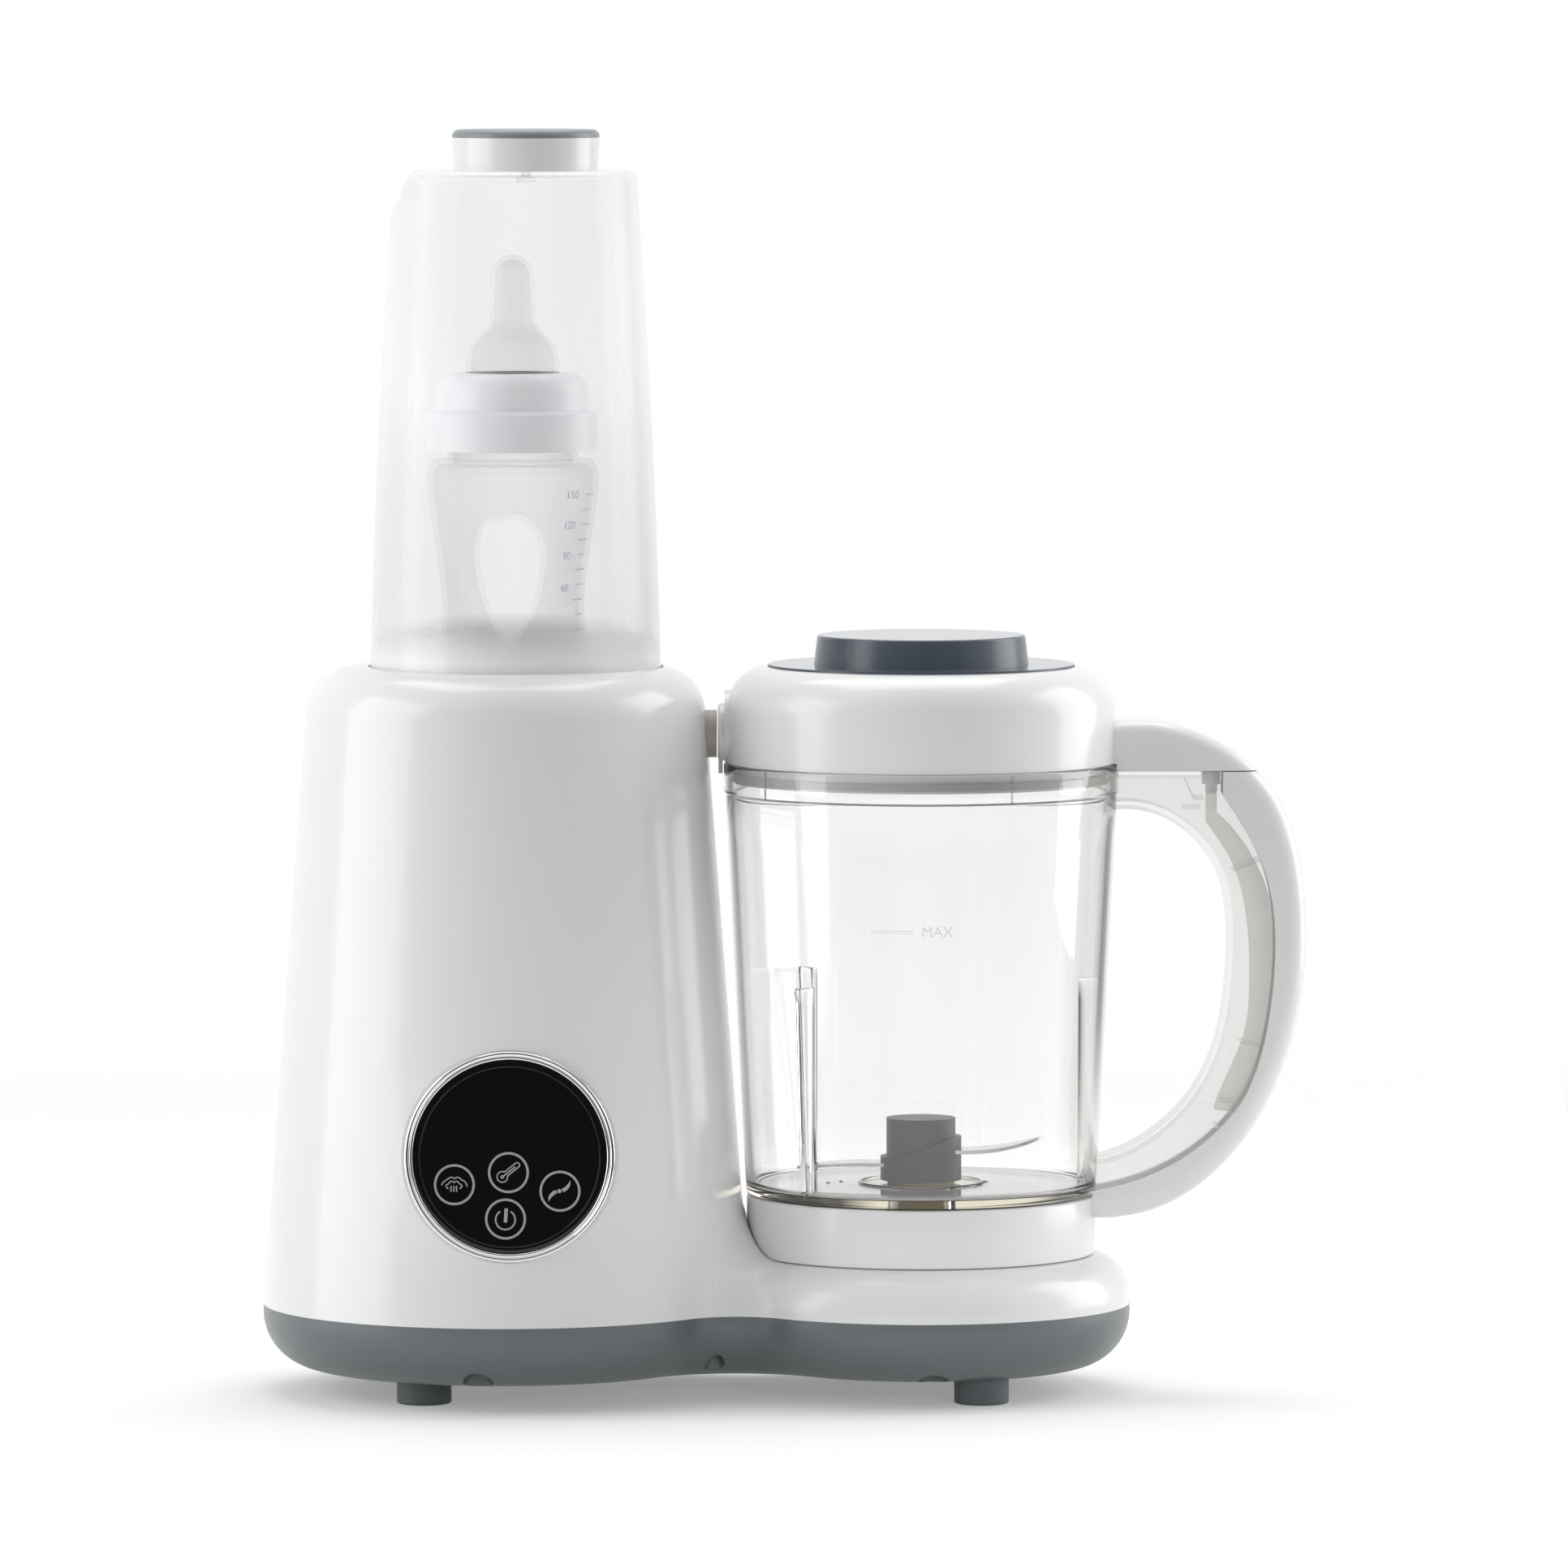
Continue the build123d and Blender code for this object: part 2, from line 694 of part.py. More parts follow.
with BuildPart() as motor_can:
    turn(
        motor_x,
        (8, plate_z),
        (can_r, plate_z),
        (can_r, can_top),
        (10, can_top),
        (10, can_top + 7),
        (3.6, can_top + 7),
        (3.6, can_top + 5.5),
        (8, can_top + 5.5),
        (8, can_top - 2),
        (can_r - 2, can_top - 2),
        (can_r - 2, plate_z + 2),
        (10, plate_z + 2),
        (10, plate_z + 7),
        (8, plate_z + 7),
    )
    with Locations((motor_x, 0, plate_z + 9)):
        with PolarLocations(can_r, 6, 30):
            Box(8, 9, 6, mode=Mode.SUBTRACT)
motor_can.part.label = "motor_can"
export_step(motor_can.part, "parts/motor_can.step")

with BuildPart() as motor_bearings:
    ring(motor_x, shaft_r + 0.05, 7.98, plate_z + 0.3, plate_z + 6.3)
    ring(motor_x, shaft_r + 0.05, 7.98, can_top - 1, can_top + 5)
motor_bearings.part.label = "motor_bearings"
export_step(motor_bearings.part, "parts/motor_bearings.step")

with BuildPart() as motor_magnets:
    for start in (-62, 118):
        turn(motor_x, (24.2, 60), (28, 60), (28, 96), (24.2, 96), start=start, arc=124)
motor_magnets.part.label = "motor_magnets"
export_step(motor_magnets.part, "parts/motor_magnets.step")

commutator_r = 9.0
with BuildPart() as motor_brushes:
    for side in (-1, 1):
        block(motor_x, side * 14.6, 5, 10.8, 98.8, 103)
        block(motor_x, side * 23.6, 7, 8, 97.6, 103.9)
motor_brushes.part.label = "motor_brushes"
export_step(motor_brushes.part, "parts/motor_brushes.step")

# Rotor: shaft, wound armature with its commutator, cooling fan and pulley
with BuildPart() as motor_shaft:
    post(motor_x, 0, shaft_r, pulley_low - 1, can_top + 5.3)
motor_shaft.part.label = "motor_shaft"
export_step(motor_shaft.part, "parts/motor_shaft.step")

with BuildPart() as armature:
    ring(motor_x, shaft_r, 23.2, 62, 94)
    with Locations((motor_x, 0, 78)):
        with PolarLocations(20.2, 12):
            Box(8, 2.4, 34, mode=Mode.SUBTRACT)
    turn(motor_x, (5, 62), (6, 59), (18, 59), (20, 60.5), (20, 62))
    turn(motor_x, (5, 94), (20, 94), (20, 95.5), (18, 97), (6, 97))
    ring(motor_x, shaft_r, commutator_r, 94, 103.6)
    with Locations((motor_x, 0, 102)):
        with PolarLocations(commutator_r, 12):
            Box(1.6, 0.5, 8, mode=Mode.SUBTRACT)
armature.part.label = "armature"
export_step(armature.part, "parts/armature.step")

with BuildPart() as motor_fan:
    ring(motor_x, shaft_r, 25, 52.8, 53.8)
    ring(motor_x, shaft_r, 6.5, 53.8, 58.4)
    with Locations((motor_x, 0, 56)):
        with PolarLocations(15.5, 9):
            with Locations(Location((0, 0, 0), (0, 0, 24))):
                Box(16, 0.9, 4.6)
motor_fan.part.label = "motor_fan"
export_step(motor_fan.part, "parts/motor_fan.step")


def pulley(x, radius, bore):
    # Flanged flat-belt pulley
    turn(
        x,
        (bore, pulley_low),
        (radius + 2.6, pulley_low),
        (radius + 2.6, pulley_low + 1.4),
        (radius, pulley_low + 1.6),
        (radius, pulley_high - 1.6),
        (radius + 2.6, pulley_high - 1.4),
        (radius + 2.6, pulley_high),
        (bore, pulley_high),
    )


with BuildPart() as motor_pulley:
    pulley(motor_x, motor_pulley_r, shaft_r)
motor_pulley.part.label = "motor_pulley"
export_step(motor_pulley.part, "parts/motor_pulley.step")


def belt_outline(grow):
    with BuildSketch(Plane.XY.offset(pulley_low + 2)) as outline:
        with Locations((motor_x, 0)):
            Circle(motor_pulley_r + grow)
        with Locations((jug_x, 0)):
            Circle(drive_pulley_r + grow)
        make_hull()
    return outline.sketch


with BuildPart() as drive_belt:
    with BuildSketch(Plane.XY.offset(pulley_low + 2)):
        add(belt_outline(belt_thick))
        add(belt_outline(0.05), mode=Mode.SUBTRACT)
    extrude(amount=pulley_high - pulley_low - 4)
drive_belt.part.label = "drive_belt"
export_step(drive_belt.part, "parts/drive_belt.step")

# Drive shaft under the jug, with its bearings in the housing's boss and a star coupling on top
drive_r = 4.0
star_r = 10.5
star_top = 54.2
with BuildPart() as drive_shaft:
    post(jug_x, 0, drive_r, pulley_low - 1, star_top - 1.5)
    ring(jug_x, drive_r - 0.5, 5.6, pulley_high, pulley_high + 2.2)
drive_shaft.part.label = "drive_shaft"
export_step(drive_shaft.part, "parts/drive_shaft.step")

with BuildPart() as drive_pulley:
    pulley(jug_x, drive_pulley_r, drive_r)
    with Locations((jug_x, 0, pulley_low)):
        with PolarLocations(13, 6):
            Cylinder(4.5, 40, mode=Mode.SUBTRACT)
drive_pulley.part.label = "drive_pulley"
export_step(drive_pulley.part, "parts/drive_pulley.step")

with BuildPart() as drive_bearings:
    ring(jug_x, drive_r + 0.05, 7.98, 29.8, 35)
    ring(jug_x, drive_r + 0.05, 7.98, 40, platform_z)
drive_bearings.part.label = "drive_bearings"
export_step(drive_bearings.part, "parts/drive_bearings.step")

with BuildPart() as shaft_seal:
    ring(jug_x, drive_r + 0.08, 11, platform_z, platform_z + 1.2)
shaft_seal.part.label = "shaft_seal"
export_step(shaft_seal.part, "parts/shaft_seal.step")


def star(grow):
    # Six-lobed drive star
    with BuildSketch() as plan:
        with Locations((jug_x, 0)):
            Circle(7.4 + grow)
            with PolarLocations(0, 6):
                SlotOverall(2 * (star_r + grow), 3.2 + 2 * grow)
    return plan.sketch


with BuildPart() as drive_coupling:
    with BuildSketch(Plane.XY.offset(platform_z + 1.5)):
        add(star(0))
        with Locations((jug_x, 0)):
            Circle(drive_r, mode=Mode.SUBTRACT)
    extrude(amount=star_top - platform_z - 1.5)
drive_coupling.part.label = "drive_coupling"
export_step(drive_coupling.part, "parts/drive_coupling.step")

# Jug-present switch: pin through the platform, its spring, and the switch below
with BuildPart() as interlock_pin:
    post(pin_x, 0, 1.5, 33.4, 38)
    post(pin_x, 0, 4.2, 37.6, 39)
    post(pin_x, 0, 2.4, 39, platform_z - 0.1)
    fillet(interlock_pin.edges().sort_by(Axis.Z)[-1], 0.6)
interlock_pin.part.label = "interlock_pin"
export_step(interlock_pin.part, "parts/interlock_pin.step")

with BuildPart() as pin_spring:
    with BuildLine() as coil:
        Helix(pitch=1.3, height=3.9, radius=2.6, center=(pin_x, 0, 33.35))
    with BuildSketch(Plane(origin=coil.line @ 0, z_dir=coil.line % 0)):
        Circle(0.28)
    sweep(path=coil.line, is_frenet=True)
pin_spring.part.label = "pin_spring"
export_step(pin_spring.part, "parts/pin_spring.step")

with BuildPart() as safety_switch:
    block(pin_x, 0, 14, 9, 20, 33)
    for step in (-1, 0, 1):
        block(pin_x + step * 4.5, -5.6, 1, 3, 21.5, 28)
safety_switch.part.label = "safety_switch"
export_step(safety_switch.part, "parts/safety_switch.step")

# Power board in its slotted posts, and its leads
board_face = board_y - board_thick / 2
with BuildPart() as power_board:
    block(tower_x, board_y, board_w - 0.2, board_thick, board_low, board_low + 70)
    block(tower_x - 16, board_face - 7, 24, 14, 62, 84)
    block(tower_x + 12, board_face - 6, 16, 12, 84, 96)
    with Locations(Location((tower_x + 8, board_face, 68), (90, 0, 0))):
        Cylinder(6, 13, align=(Align.CENTER, Align.CENTER, Align.MIN))
    with Locations(Location((tower_x + 24, board_face, 68), (90, 0, 0))):
        Cylinder(5, 11, align=(Align.CENTER, Align.CENTER, Align.MIN))
power_board.part.label = "power_board"
export_step(power_board.part, "parts/power_board.step")

with BuildPart() as heater_leads:
    for x in lead_x:
        route = [(x, lead_y, 155), (x, lead_y, 136), (x, 40, 117), (x, 40, 98), (x, board_face, 98)]
        with BuildLine() as path:
            FilletPolyline(*route, radius=[7, 7, 4])
        with BuildSketch(Plane(origin=route[0], z_dir=(0, 0, -1))):
            Circle(1.1)
        sweep(path=path.line)
heater_leads.part.label = "heater_leads"
export_step(heater_leads.part, "parts/heater_leads.step")

with BuildPart() as panel_cable:
    route = [(-98, -70.5, 78), (-98, -60, 78), (-138, -28, 78), (-138, 22, 78)]
    route += [(-124, 36, 78), (-124, board_face, 78)]
    with BuildLine() as path:
        FilletPolyline(*route, radius=[8, 14, 12, 8])
    with BuildSketch(Plane(origin=route[0], z_dir=(0, 1, 0))):
        Circle(1.8)
    sweep(path=path.line)
panel_cable.part.label = "panel_cable"
export_step(panel_cable.part, "parts/panel_cable.step")

# Cord gland, held between half notches of tray and housing
with BuildPart() as cord_gland:
    with Locations(Location((gland_x, tower_base_r - 1, seam_z), (90, 0, 0))):
        Cylinder(6, 7, align=(Align.CENTER, Align.CENTER, Align.MIN))
    with Locations(Location((gland_x, tower_base_r - 4.8, seam_z), (90, 0, 0))):
        Cylinder(7.4, 3, align=(Align.CENTER, Align.CENTER, Align.MIN))
    with Locations(Location((gland_x, tower_base_r + 1, seam_z), (90, 0, 0))):
        Cylinder(3.6, 12, align=(Align.CENTER, Align.CENTER, Align.MIN), mode=Mode.SUBTRACT)
cord_gland.part.label = "cord_gland"
export_step(cord_gland.part, "parts/cord_gland.step")

# Jug: clear cup with a rim band, three upright ribs and a ridge round the blade
rib_in = 51.5
rib_top = 135.5
bush_r = 7.5
jug_solid = [(0, jug_low), (jug_low_r, jug_low), (jug_radius(rim_low), rim_low)]
jug_solid += [(rim_r, rim_low), (rim_r, rim_top), (0, rim_top)]
rim_in = 61.9
with BuildPart() as jug_ribs:
    with Locations((jug_x, 0, jug_floor - 1)):
        with PolarLocations(rib_in, 3, -133, 266, True, True):
            Box(12, 3, rib_top - jug_floor + 1, align=(Align.MIN, Align.CENTER, Align.MIN))
    turn(jug_x, *jug_solid, mode=Mode.INTERSECT)
with BuildPart() as jug_body:
    turn(jug_x, *jug_solid)
    turn(
        jug_x,
        (0, jug_floor),
        (jug_radius(jug_floor) - jug_wall, jug_floor),
        (jug_radius(rim_low) - jug_wall, rim_low),
        (rim_in, rim_low + 1),
        (rim_in, rim_top + 1),
        (0, rim_top + 1),
        mode=Mode.SUBTRACT,
    )
    add(jug_ribs.part)
    ring(jug_x, 19.4, 20.6, jug_floor - 0.5, jug_floor + 0.7)
    post(jug_x, 0, bush_r, jug_low - 1, jug_floor + 1, mode=Mode.SUBTRACT)
jug_body.part.label = "jug_body"
export_step(jug_body.part, "parts/jug_body.step")

with BuildPart() as jug_collar:
    turn(
        jug_x,
        (collar_r - 2.6, collar_low),
        (collar_r, collar_low),
        (collar_r, jug_low),
        (9, jug_low),
        (9, jug_low - 2.4),
        (collar_r - 2.6, jug_low - 2.4),
    )
jug_collar.part.label = "jug_collar"
export_step(jug_collar.part, "parts/jug_collar.step")

# D-shaped handle: a clear channel moulded to the jug, closed by a white grip, hollow inside
outer_arc = [(154.4, handle_top), (160.8, 195.6), (167.3, 178.8), (reach, 152), (168.3, 125.4)]
outer_arc += [(157.1, 93.5), (132.2, 65.6), (101.5, 57.2)]
parting = [(143.0, 195.6), (150.0, 184.7), (157.3, 169), (160.2, 146), (158.4, 124), (149.5, 95.9)]
parting += [(140.5, 84.9), (122.7, 72.8), (100.2, 66.2)]
finger_arc = [(104.0, 77.2), (116.9, 82.9), (134.6, 100.7), (144.7, 143.2), (141, 170.6)]
finger_arc += [(130.9, 184.1), (116.5, 190.9), (106, 190.8)]
root_x = 98.0


def side_face(*curves):
    # A closed outline in the handle's middle plane, one spline or chain of lines after another
    with BuildSketch(Plane.XZ) as face:
        with BuildLine():
            for kind, points in curves:
                kind(*points)
        make_face()
    return face.sketch


def shifted(points, distance):
    # The same run of points moved square to itself, to its right
    moved = []
    for index, (x, z) in enumerate(points):
        before = points[max(index - 1, 0)]
        after = points[min(index + 1, len(points) - 1)]
        run = math.dist(before, after)
        normal = ((after[1] - before[1]) / run, (before[0] - after[0]) / run)
        moved.append((x + distance * normal[0], z + distance * normal[1]))
    return moved


band = side_face(
    (Polyline, [(root_x, handle_top), outer_arc[0]]),
    (Spline, outer_arc),
    (Polyline, [outer_arc[-1], (root_x, 57.2), (root_x, 77.2), finger_arc[0]]),
    (Spline, finger_arc),
    (Polyline, [finger_arc[-1], (root_x, 190.8), (root_x, handle_top)]),
)
grip_face = side_face(
    (Polyline, [(143.0, handle_top), outer_arc[0]]),
    (Spline, outer_arc),
    (Polyline, [outer_arc[-1], (root_x, 57.2), (root_x, 66.2), parting[-1]]),
    (Spline, parting[::-1]),
    (Polyline, [parting[0], (143.0, handle_top)]),
)
hollow_top = handle_top - handle_wall
hollow_outer = [(151.6, hollow_top)] + shifted(outer_arc, handle_wall)[1:]
hollow_finger = shifted(finger_arc, handle_wall)
hollow = side_face(
    (Polyline, [(root_x, hollow_top), hollow_outer[0]]),
    (Spline, hollow_outer),
    (Polyline, [hollow_outer[-1], (root_x, 59.6), (root_x, 74.8), hollow_finger[0]]),
    (Spline, hollow_finger),
    (Polyline, [hollow_finger[-1], (root_x, 193.2), (root_x, hollow_top)]),
)

slot_x = 139.4
with BuildPart() as handle_channel:
    add(extrude(band, amount=channel_half, both=True, mode=Mode.PRIVATE))
    add(extrude(grip_face, amount=grip_half, both=True, mode=Mode.PRIVATE), mode=Mode.SUBTRACT)
    add(extrude(hollow, amount=hollow_half, both=True, mode=Mode.PRIVATE), mode=Mode.SUBTRACT)
    block(slot_x, 0, 6.8, 10, 190, handle_top + 1, mode=Mode.SUBTRACT)
    turn(jug_x, *jug_solid, mode=Mode.SUBTRACT)
    post(jug_x, 0, collar_r, 50, jug_low + 0.1, mode=Mode.SUBTRACT)
handle_channel.part.label = "handle_channel"
export_step(handle_channel.part, "parts/handle_channel.step")

with BuildPart() as handle_grip:
    add(extrude(grip_face, amount=grip_half, both=True, mode=Mode.PRIVATE))
    long_edges = handle_grip.edges().filter_by(GeomType.BSPLINE).group_by(Axis.Y)
    outer_edges = [group.sort_by(SortBy.LENGTH)[-1] for group in (long_edges[0], long_edges[-1])]
    fillet(outer_edges, 6.5)
    add(extrude(hollow, amount=hollow_half, both=True, mode=Mode.PRIVATE), mode=Mode.SUBTRACT)
    turn(jug_x, *jug_solid, mode=Mode.SUBTRACT)
    post(jug_x, 0, collar_r, 50, jug_low + 0.1, mode=Mode.SUBTRACT)
handle_grip.part.label = "handle_grip"
export_step(handle_grip.part, "parts/handle_grip.step")

# Interlock rod inside the handle, pressed down by the lid's tab
rod_outer = [(141.2, 189.5), (147.5, 183.2), (153.0, 175.2), (157.4, 165.5), (160.6, 150), (160.9, 137)]
rod_outer += [(159.5, 122), (155.2, 108), (149.8, 97), (146.8, 91.5)]
rod_inner = [(140.6, 92.5), (146.4, 106.5), (151, 119), (152.2, 131), (152.2, 143), (151.2, 155)]
rod_inner += [(149.0, 166), (145.4, 175), (141.0, 182), (137.8, 186.5)]
rod_face = side_face(
    (Spline, rod_outer),
    (Polyline, [rod_outer[-1], rod_inner[0]]),
    (Spline, rod_inner),
    (Polyline, [rod_inner[-1], (137.8, 196.0), (141.2, 196.0), rod_outer[0]]),
)
with BuildPart() as interlock_rod:
    extrude(rod_face, amount=3.6, both=True)
interlock_rod.part.label = "interlock_rod"
export_step(interlock_rod.part, "parts/interlock_rod.step")

# Spindle bush in the jug floor
spindle_r = 3.5
with BuildPart() as spindle_bush:
    turn(
        jug_x,
        (spindle_r + 0.05, 59.4),
        (bush_r, 59.4),
        (bush_r, jug_floor),
        (11, jug_floor),
        (11, jug_floor + 0.9),
        (spindle_r + 0.05, jug_floor + 0.9),
    )
spindle_bush.part.label = "spindle_bush"
export_step(spindle_bush.part, "parts/spindle_bush.step")

# Blade set: spindle with its moulded female coupling, hub and two steel blades
coupling_top = 58.6
hub_low = 68.8
hub_top = 89.6
with BuildPart() as blade_spindle:
    post(jug_x, 0, 14.5, platform_z + 1.7, coupling_top)
    with BuildSketch(Plane.XY.offset(platform_z + 1)):
        add(star(0.4))
    extrude(amount=star_top + 0.5 - platform_z - 1, mode=Mode.SUBTRACT)
    post(jug_x, 0, spindle_r, coupling_top - 1, hub_top - 5)
blade_spindle.part.label = "blade_spindle"
export_step(blade_spindle.part, "parts/blade_spindle.step")

hub_neck_r = 11.3
blade_reach = 40.5
second_blade = 180


def blade(root_z, rise):
    # A scimitar blade along +X from the upright axis: a thin strip, cut to a curved taper in plan
    middle = (24, root_z + 0.15 * rise)
    tip = (blade_reach, root_z + rise)
    with BuildPart() as steel:
        with BuildSketch(Plane.XZ):
            with BuildLine():
                Spline((9.4, root_z), middle, tip)
                Polyline(tip, (tip[0], tip[1] + 1.0))
                Spline((tip[0], tip[1] + 1.0), (24, middle[1] + 1.2), (9.4, root_z + 1.2))
                Line((9.4, root_z + 1.2), (9.4, root_z))
            make_face()
        extrude(amount=14, both=True)
        with BuildSketch():
            with BuildLine():
                Spline((9, -6.5), (24, -8.5), (blade_reach + 0.2, 4.5))
                Spline((blade_reach + 0.2, 4.5), (25, 4.5), (9, 5.5))
                Line((9, 5.5), (9, -6.5))
            make_face()
        extrude(amount=120, mode=Mode.INTERSECT)
    return steel.part


with BuildPart() as blades:
    with Locations((jug_x, 0, 0)):
        add(blade(78.3, 4.2))
    with Locations(Location((jug_x, 0, 0), (0, 0, second_blade))):
        add(blade(73.6, -0.8))
    post(jug_x, 0, hub_neck_r - 1.4, hub_low, hub_top, mode=Mode.SUBTRACT)
blades.part.label = "blades"
export_step(blades.part, "parts/blades.step")

hub_r = 13.25
with BuildPart() as blade_hub:
    post(jug_x, 0, hub_r, hub_low, hub_top)
    with BuildSketch(Plane.XZ):
        with BuildLine():
            Polyline(
                (jug_x - 20, 77),
                (jug_x - 8, 77),
                (jug_x + 10, 83.6),
                (jug_x + 20, 83.6),
                (jug_x + 20, 100),
                (jug_x - 20, 100),
                close=True,
            )
        make_face()
    extrude(amount=20, both=True, mode=Mode.SUBTRACT)
    post(jug_x, 0, hub_neck_r, hub_low, hub_top)
    post(jug_x, 0, spindle_r, hub_low - 1, hub_top - 5, mode=Mode.SUBTRACT)
    ring(jug_x, spindle_r + 2.2, hub_neck_r - 2.2, hub_low - 1, hub_top - 8, mode=Mode.SUBTRACT)
    add(blades.part, mode=Mode.SUBTRACT)
blade_hub.part.label = "blade_hub"
export_step(blade_hub.part, "parts/blade_hub.step")

# Lid: domed shell with inner skirt, filler neck, steam boss and the arm over the handle
filler_r = 40.0
flange_r = 49.8
boss_z = 217.6
skirt_r = 60.9
arm_low = 204.0
arm_points = [(154.3, arm_low), (137.5, 215.4), (108.0, 219.6)]
arm_inner = [(150.2, arm_low - 2), (136.4, 213.2), (108.6, 217.2)]
with BuildPart() as lid_inner:
    ring(jug_x, 0, lid_r - wall, lid_low - 2, lid_top - wall)
    fillet(lid_inner.edges().sort_by(Axis.Z)[-1], 11.5)
arm = side_face(
    (ThreePointArc, arm_points),
    (Polyline, [arm_points[-1], (100, 219.6), (100, arm_low), arm_points[0]]),
)
arm_hollow = side_face(
    (ThreePointArc, arm_inner),
    (Polyline, [arm_inner[-1], (108.6, arm_low - 2), arm_inner[0]]),
)
with BuildPart() as lid_arm:
    extrude(arm, amount=grip_half, both=True)
    arm_ridges = lid_arm.edges().filter_by(Axis.X).group_by(Axis.Z)[-1]
    fillet(lid_arm.edges().filter_by(GeomType.CIRCLE) + arm_ridges, 5.0)
    extrude(arm_hollow, amount=grip_half - 2.2, both=True, mode=Mode.SUBTRACT)
with BuildPart() as lid_tab:
    block(slot_x, 0, 5.8, 8, arm_low, 217)
    add(extrude(arm, amount=grip_half, both=True, mode=Mode.PRIVATE), mode=Mode.INTERSECT)
with BuildPart() as lid_shell:
    ring(jug_x, 0, lid_r, lid_low, lid_top)
    fillet(lid_shell.edges().sort_by(Axis.Z)[-1], 14)
    add(lid_arm.part)
    bar(-19.3, -10, boss_z, 12)
    add(lid_inner.part, mode=Mode.SUBTRACT)
    ring(jug_x, 0, rim_r + 0.4, arm_low - 3, lid_low, mode=Mode.SUBTRACT)
    ring(jug_x, filler_r, flange_r + 0.4, lid_top - 0.7, lid_top + 1, mode=Mode.SUBTRACT)
    turn(
        jug_x,
        (skirt_r - 1.9, 199.8),
        (skirt_r, 199.8),
        (skirt_r, lid_low),
        (lid_r - 1, lid_low),
        (lid_r - 1, lid_low + 2),
        (skirt_r - 1.9, lid_low + 2),
    )
    ring(jug_x, filler_r, filler_r + 2, 218, lid_top - 1)
    post(jug_x, 0, filler_r, 210, lid_top + 1, mode=Mode.SUBTRACT)
    bar(-20, -10, nozzle_z, 5.0, mode=Mode.SUBTRACT)
    add(lid_tab.part)
    block(slot_x, 0, 5.8, 8, 199.0, arm_low + 1)
    block(slot_x + 0.1, 0, 3.8, 4.4, 196.4, 199.2)
lid_shell.part.label = "lid_shell"
export_step(lid_shell.part, "parts/lid_shell.step")

with BuildPart() as lid_seal:
    ring(jug_x, skirt_r, rim_in - 0.15, 200.6, 203)
lid_seal.part.label = "lid_seal"
export_step(lid_seal.part, "parts/lid_seal.step")

with BuildPart() as steam_port:
    bar(-21.6, -19.3, nozzle_z + 0.6, 9.4)
    chamfer(steam_port.edges().sort_by(Axis.X)[0], 0.8)
    bar(-19.3, -14, nozzle_z, 4.98)
    block(-20.7, 0, 1.4, 8, 202.6, 208)
    bar(-23, -12, nozzle_z, 3.5, mode=Mode.SUBTRACT)
steam_port.part.label = "steam_port"
export_step(steam_port.part, "parts/steam_port.step")

# Filler cap with its plug in the lid's neck
with BuildPart() as filler_cap:
    turn(
        jug_x,
        (0, 247.7),
        (33.9, 247.7),
        (35.0, lid_top + 0.7),
        (flange_r, lid_top + 0.7),
        (flange_r, lid_top - 0.6),
        (filler_r - 0.4, lid_top - 0.6),
        (filler_r - 0.4, 224),
        (filler_r - 2.4, 224),
        (filler_r - 2.4, 236.1),
        (32.8, 236.1),
        (31.9, 245.7),
        (0, 245.7),
    )
    fillet(filler_cap.edges().group_by(Axis.Z)[-1], 0.8)
filler_cap.part.label = "filler_cap"
export_step(filler_cap.part, "parts/filler_cap.step")
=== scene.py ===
import bpy
import math
import numpy as np
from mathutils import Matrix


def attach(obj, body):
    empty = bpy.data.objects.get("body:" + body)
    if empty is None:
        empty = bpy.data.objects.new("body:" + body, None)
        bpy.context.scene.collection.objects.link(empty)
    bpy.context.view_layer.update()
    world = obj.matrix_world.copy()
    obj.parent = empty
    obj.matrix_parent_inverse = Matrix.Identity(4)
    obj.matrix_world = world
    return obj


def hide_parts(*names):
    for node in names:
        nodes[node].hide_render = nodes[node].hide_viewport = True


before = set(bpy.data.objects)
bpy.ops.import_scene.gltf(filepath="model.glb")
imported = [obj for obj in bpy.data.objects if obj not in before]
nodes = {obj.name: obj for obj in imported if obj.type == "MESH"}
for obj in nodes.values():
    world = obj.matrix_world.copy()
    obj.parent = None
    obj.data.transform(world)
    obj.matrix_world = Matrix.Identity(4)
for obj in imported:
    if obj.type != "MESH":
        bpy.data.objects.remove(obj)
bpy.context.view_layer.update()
print("frame loaded:", len(nodes), "nodes")

# Places shared by several pieces, in metres
jugX = 0.0448                                   # upright axis of jug and blades
bottleX = -0.0884                               # upright axis of the bottle
panelAt = (-0.0880, -0.0746, 0.0840)            # middle of the round panel
panelLean = math.atan(0.075)                    # how far the panel leans back from upright


# Node groups, each built once and placed in the materials that use it

def newGroup(name, inputs, outputs):
    # Empty group with its sockets; inputs are (name, kind, value), outputs (name, kind)
    group = bpy.data.node_groups.new(name, "ShaderNodeTree")
    for socket, kind, value in inputs:
        group.interface.new_socket(name=socket, in_out="INPUT", socket_type=kind).default_value = value
    for socket, kind in outputs:
        group.interface.new_socket(name=socket, in_out="OUTPUT", socket_type=kind)
    entry = group.nodes.new("NodeGroupInput")
    leave = group.nodes.new("NodeGroupOutput")
    return group, entry, leave


def addNode(tree, kind, values=None, **settings):
    # One node with its own settings and the values of its sockets
    node = tree.nodes.new(kind)
    for key, value in settings.items():
        setattr(node, key, value)
    for key, value in (values or {}).items():
        node.inputs[key].default_value = value
    return node


def math2(tree, operation, *values, clamp=False):
    # Math node on numbers or other sockets
    node = addNode(tree, "ShaderNodeMath", operation=operation, use_clamp=clamp)
    for index, value in enumerate(values):
        if isinstance(value, (int, float)):
            node.inputs[index].default_value = value
        else:
            tree.links.new(value, node.inputs[index])
    return node.outputs[0]


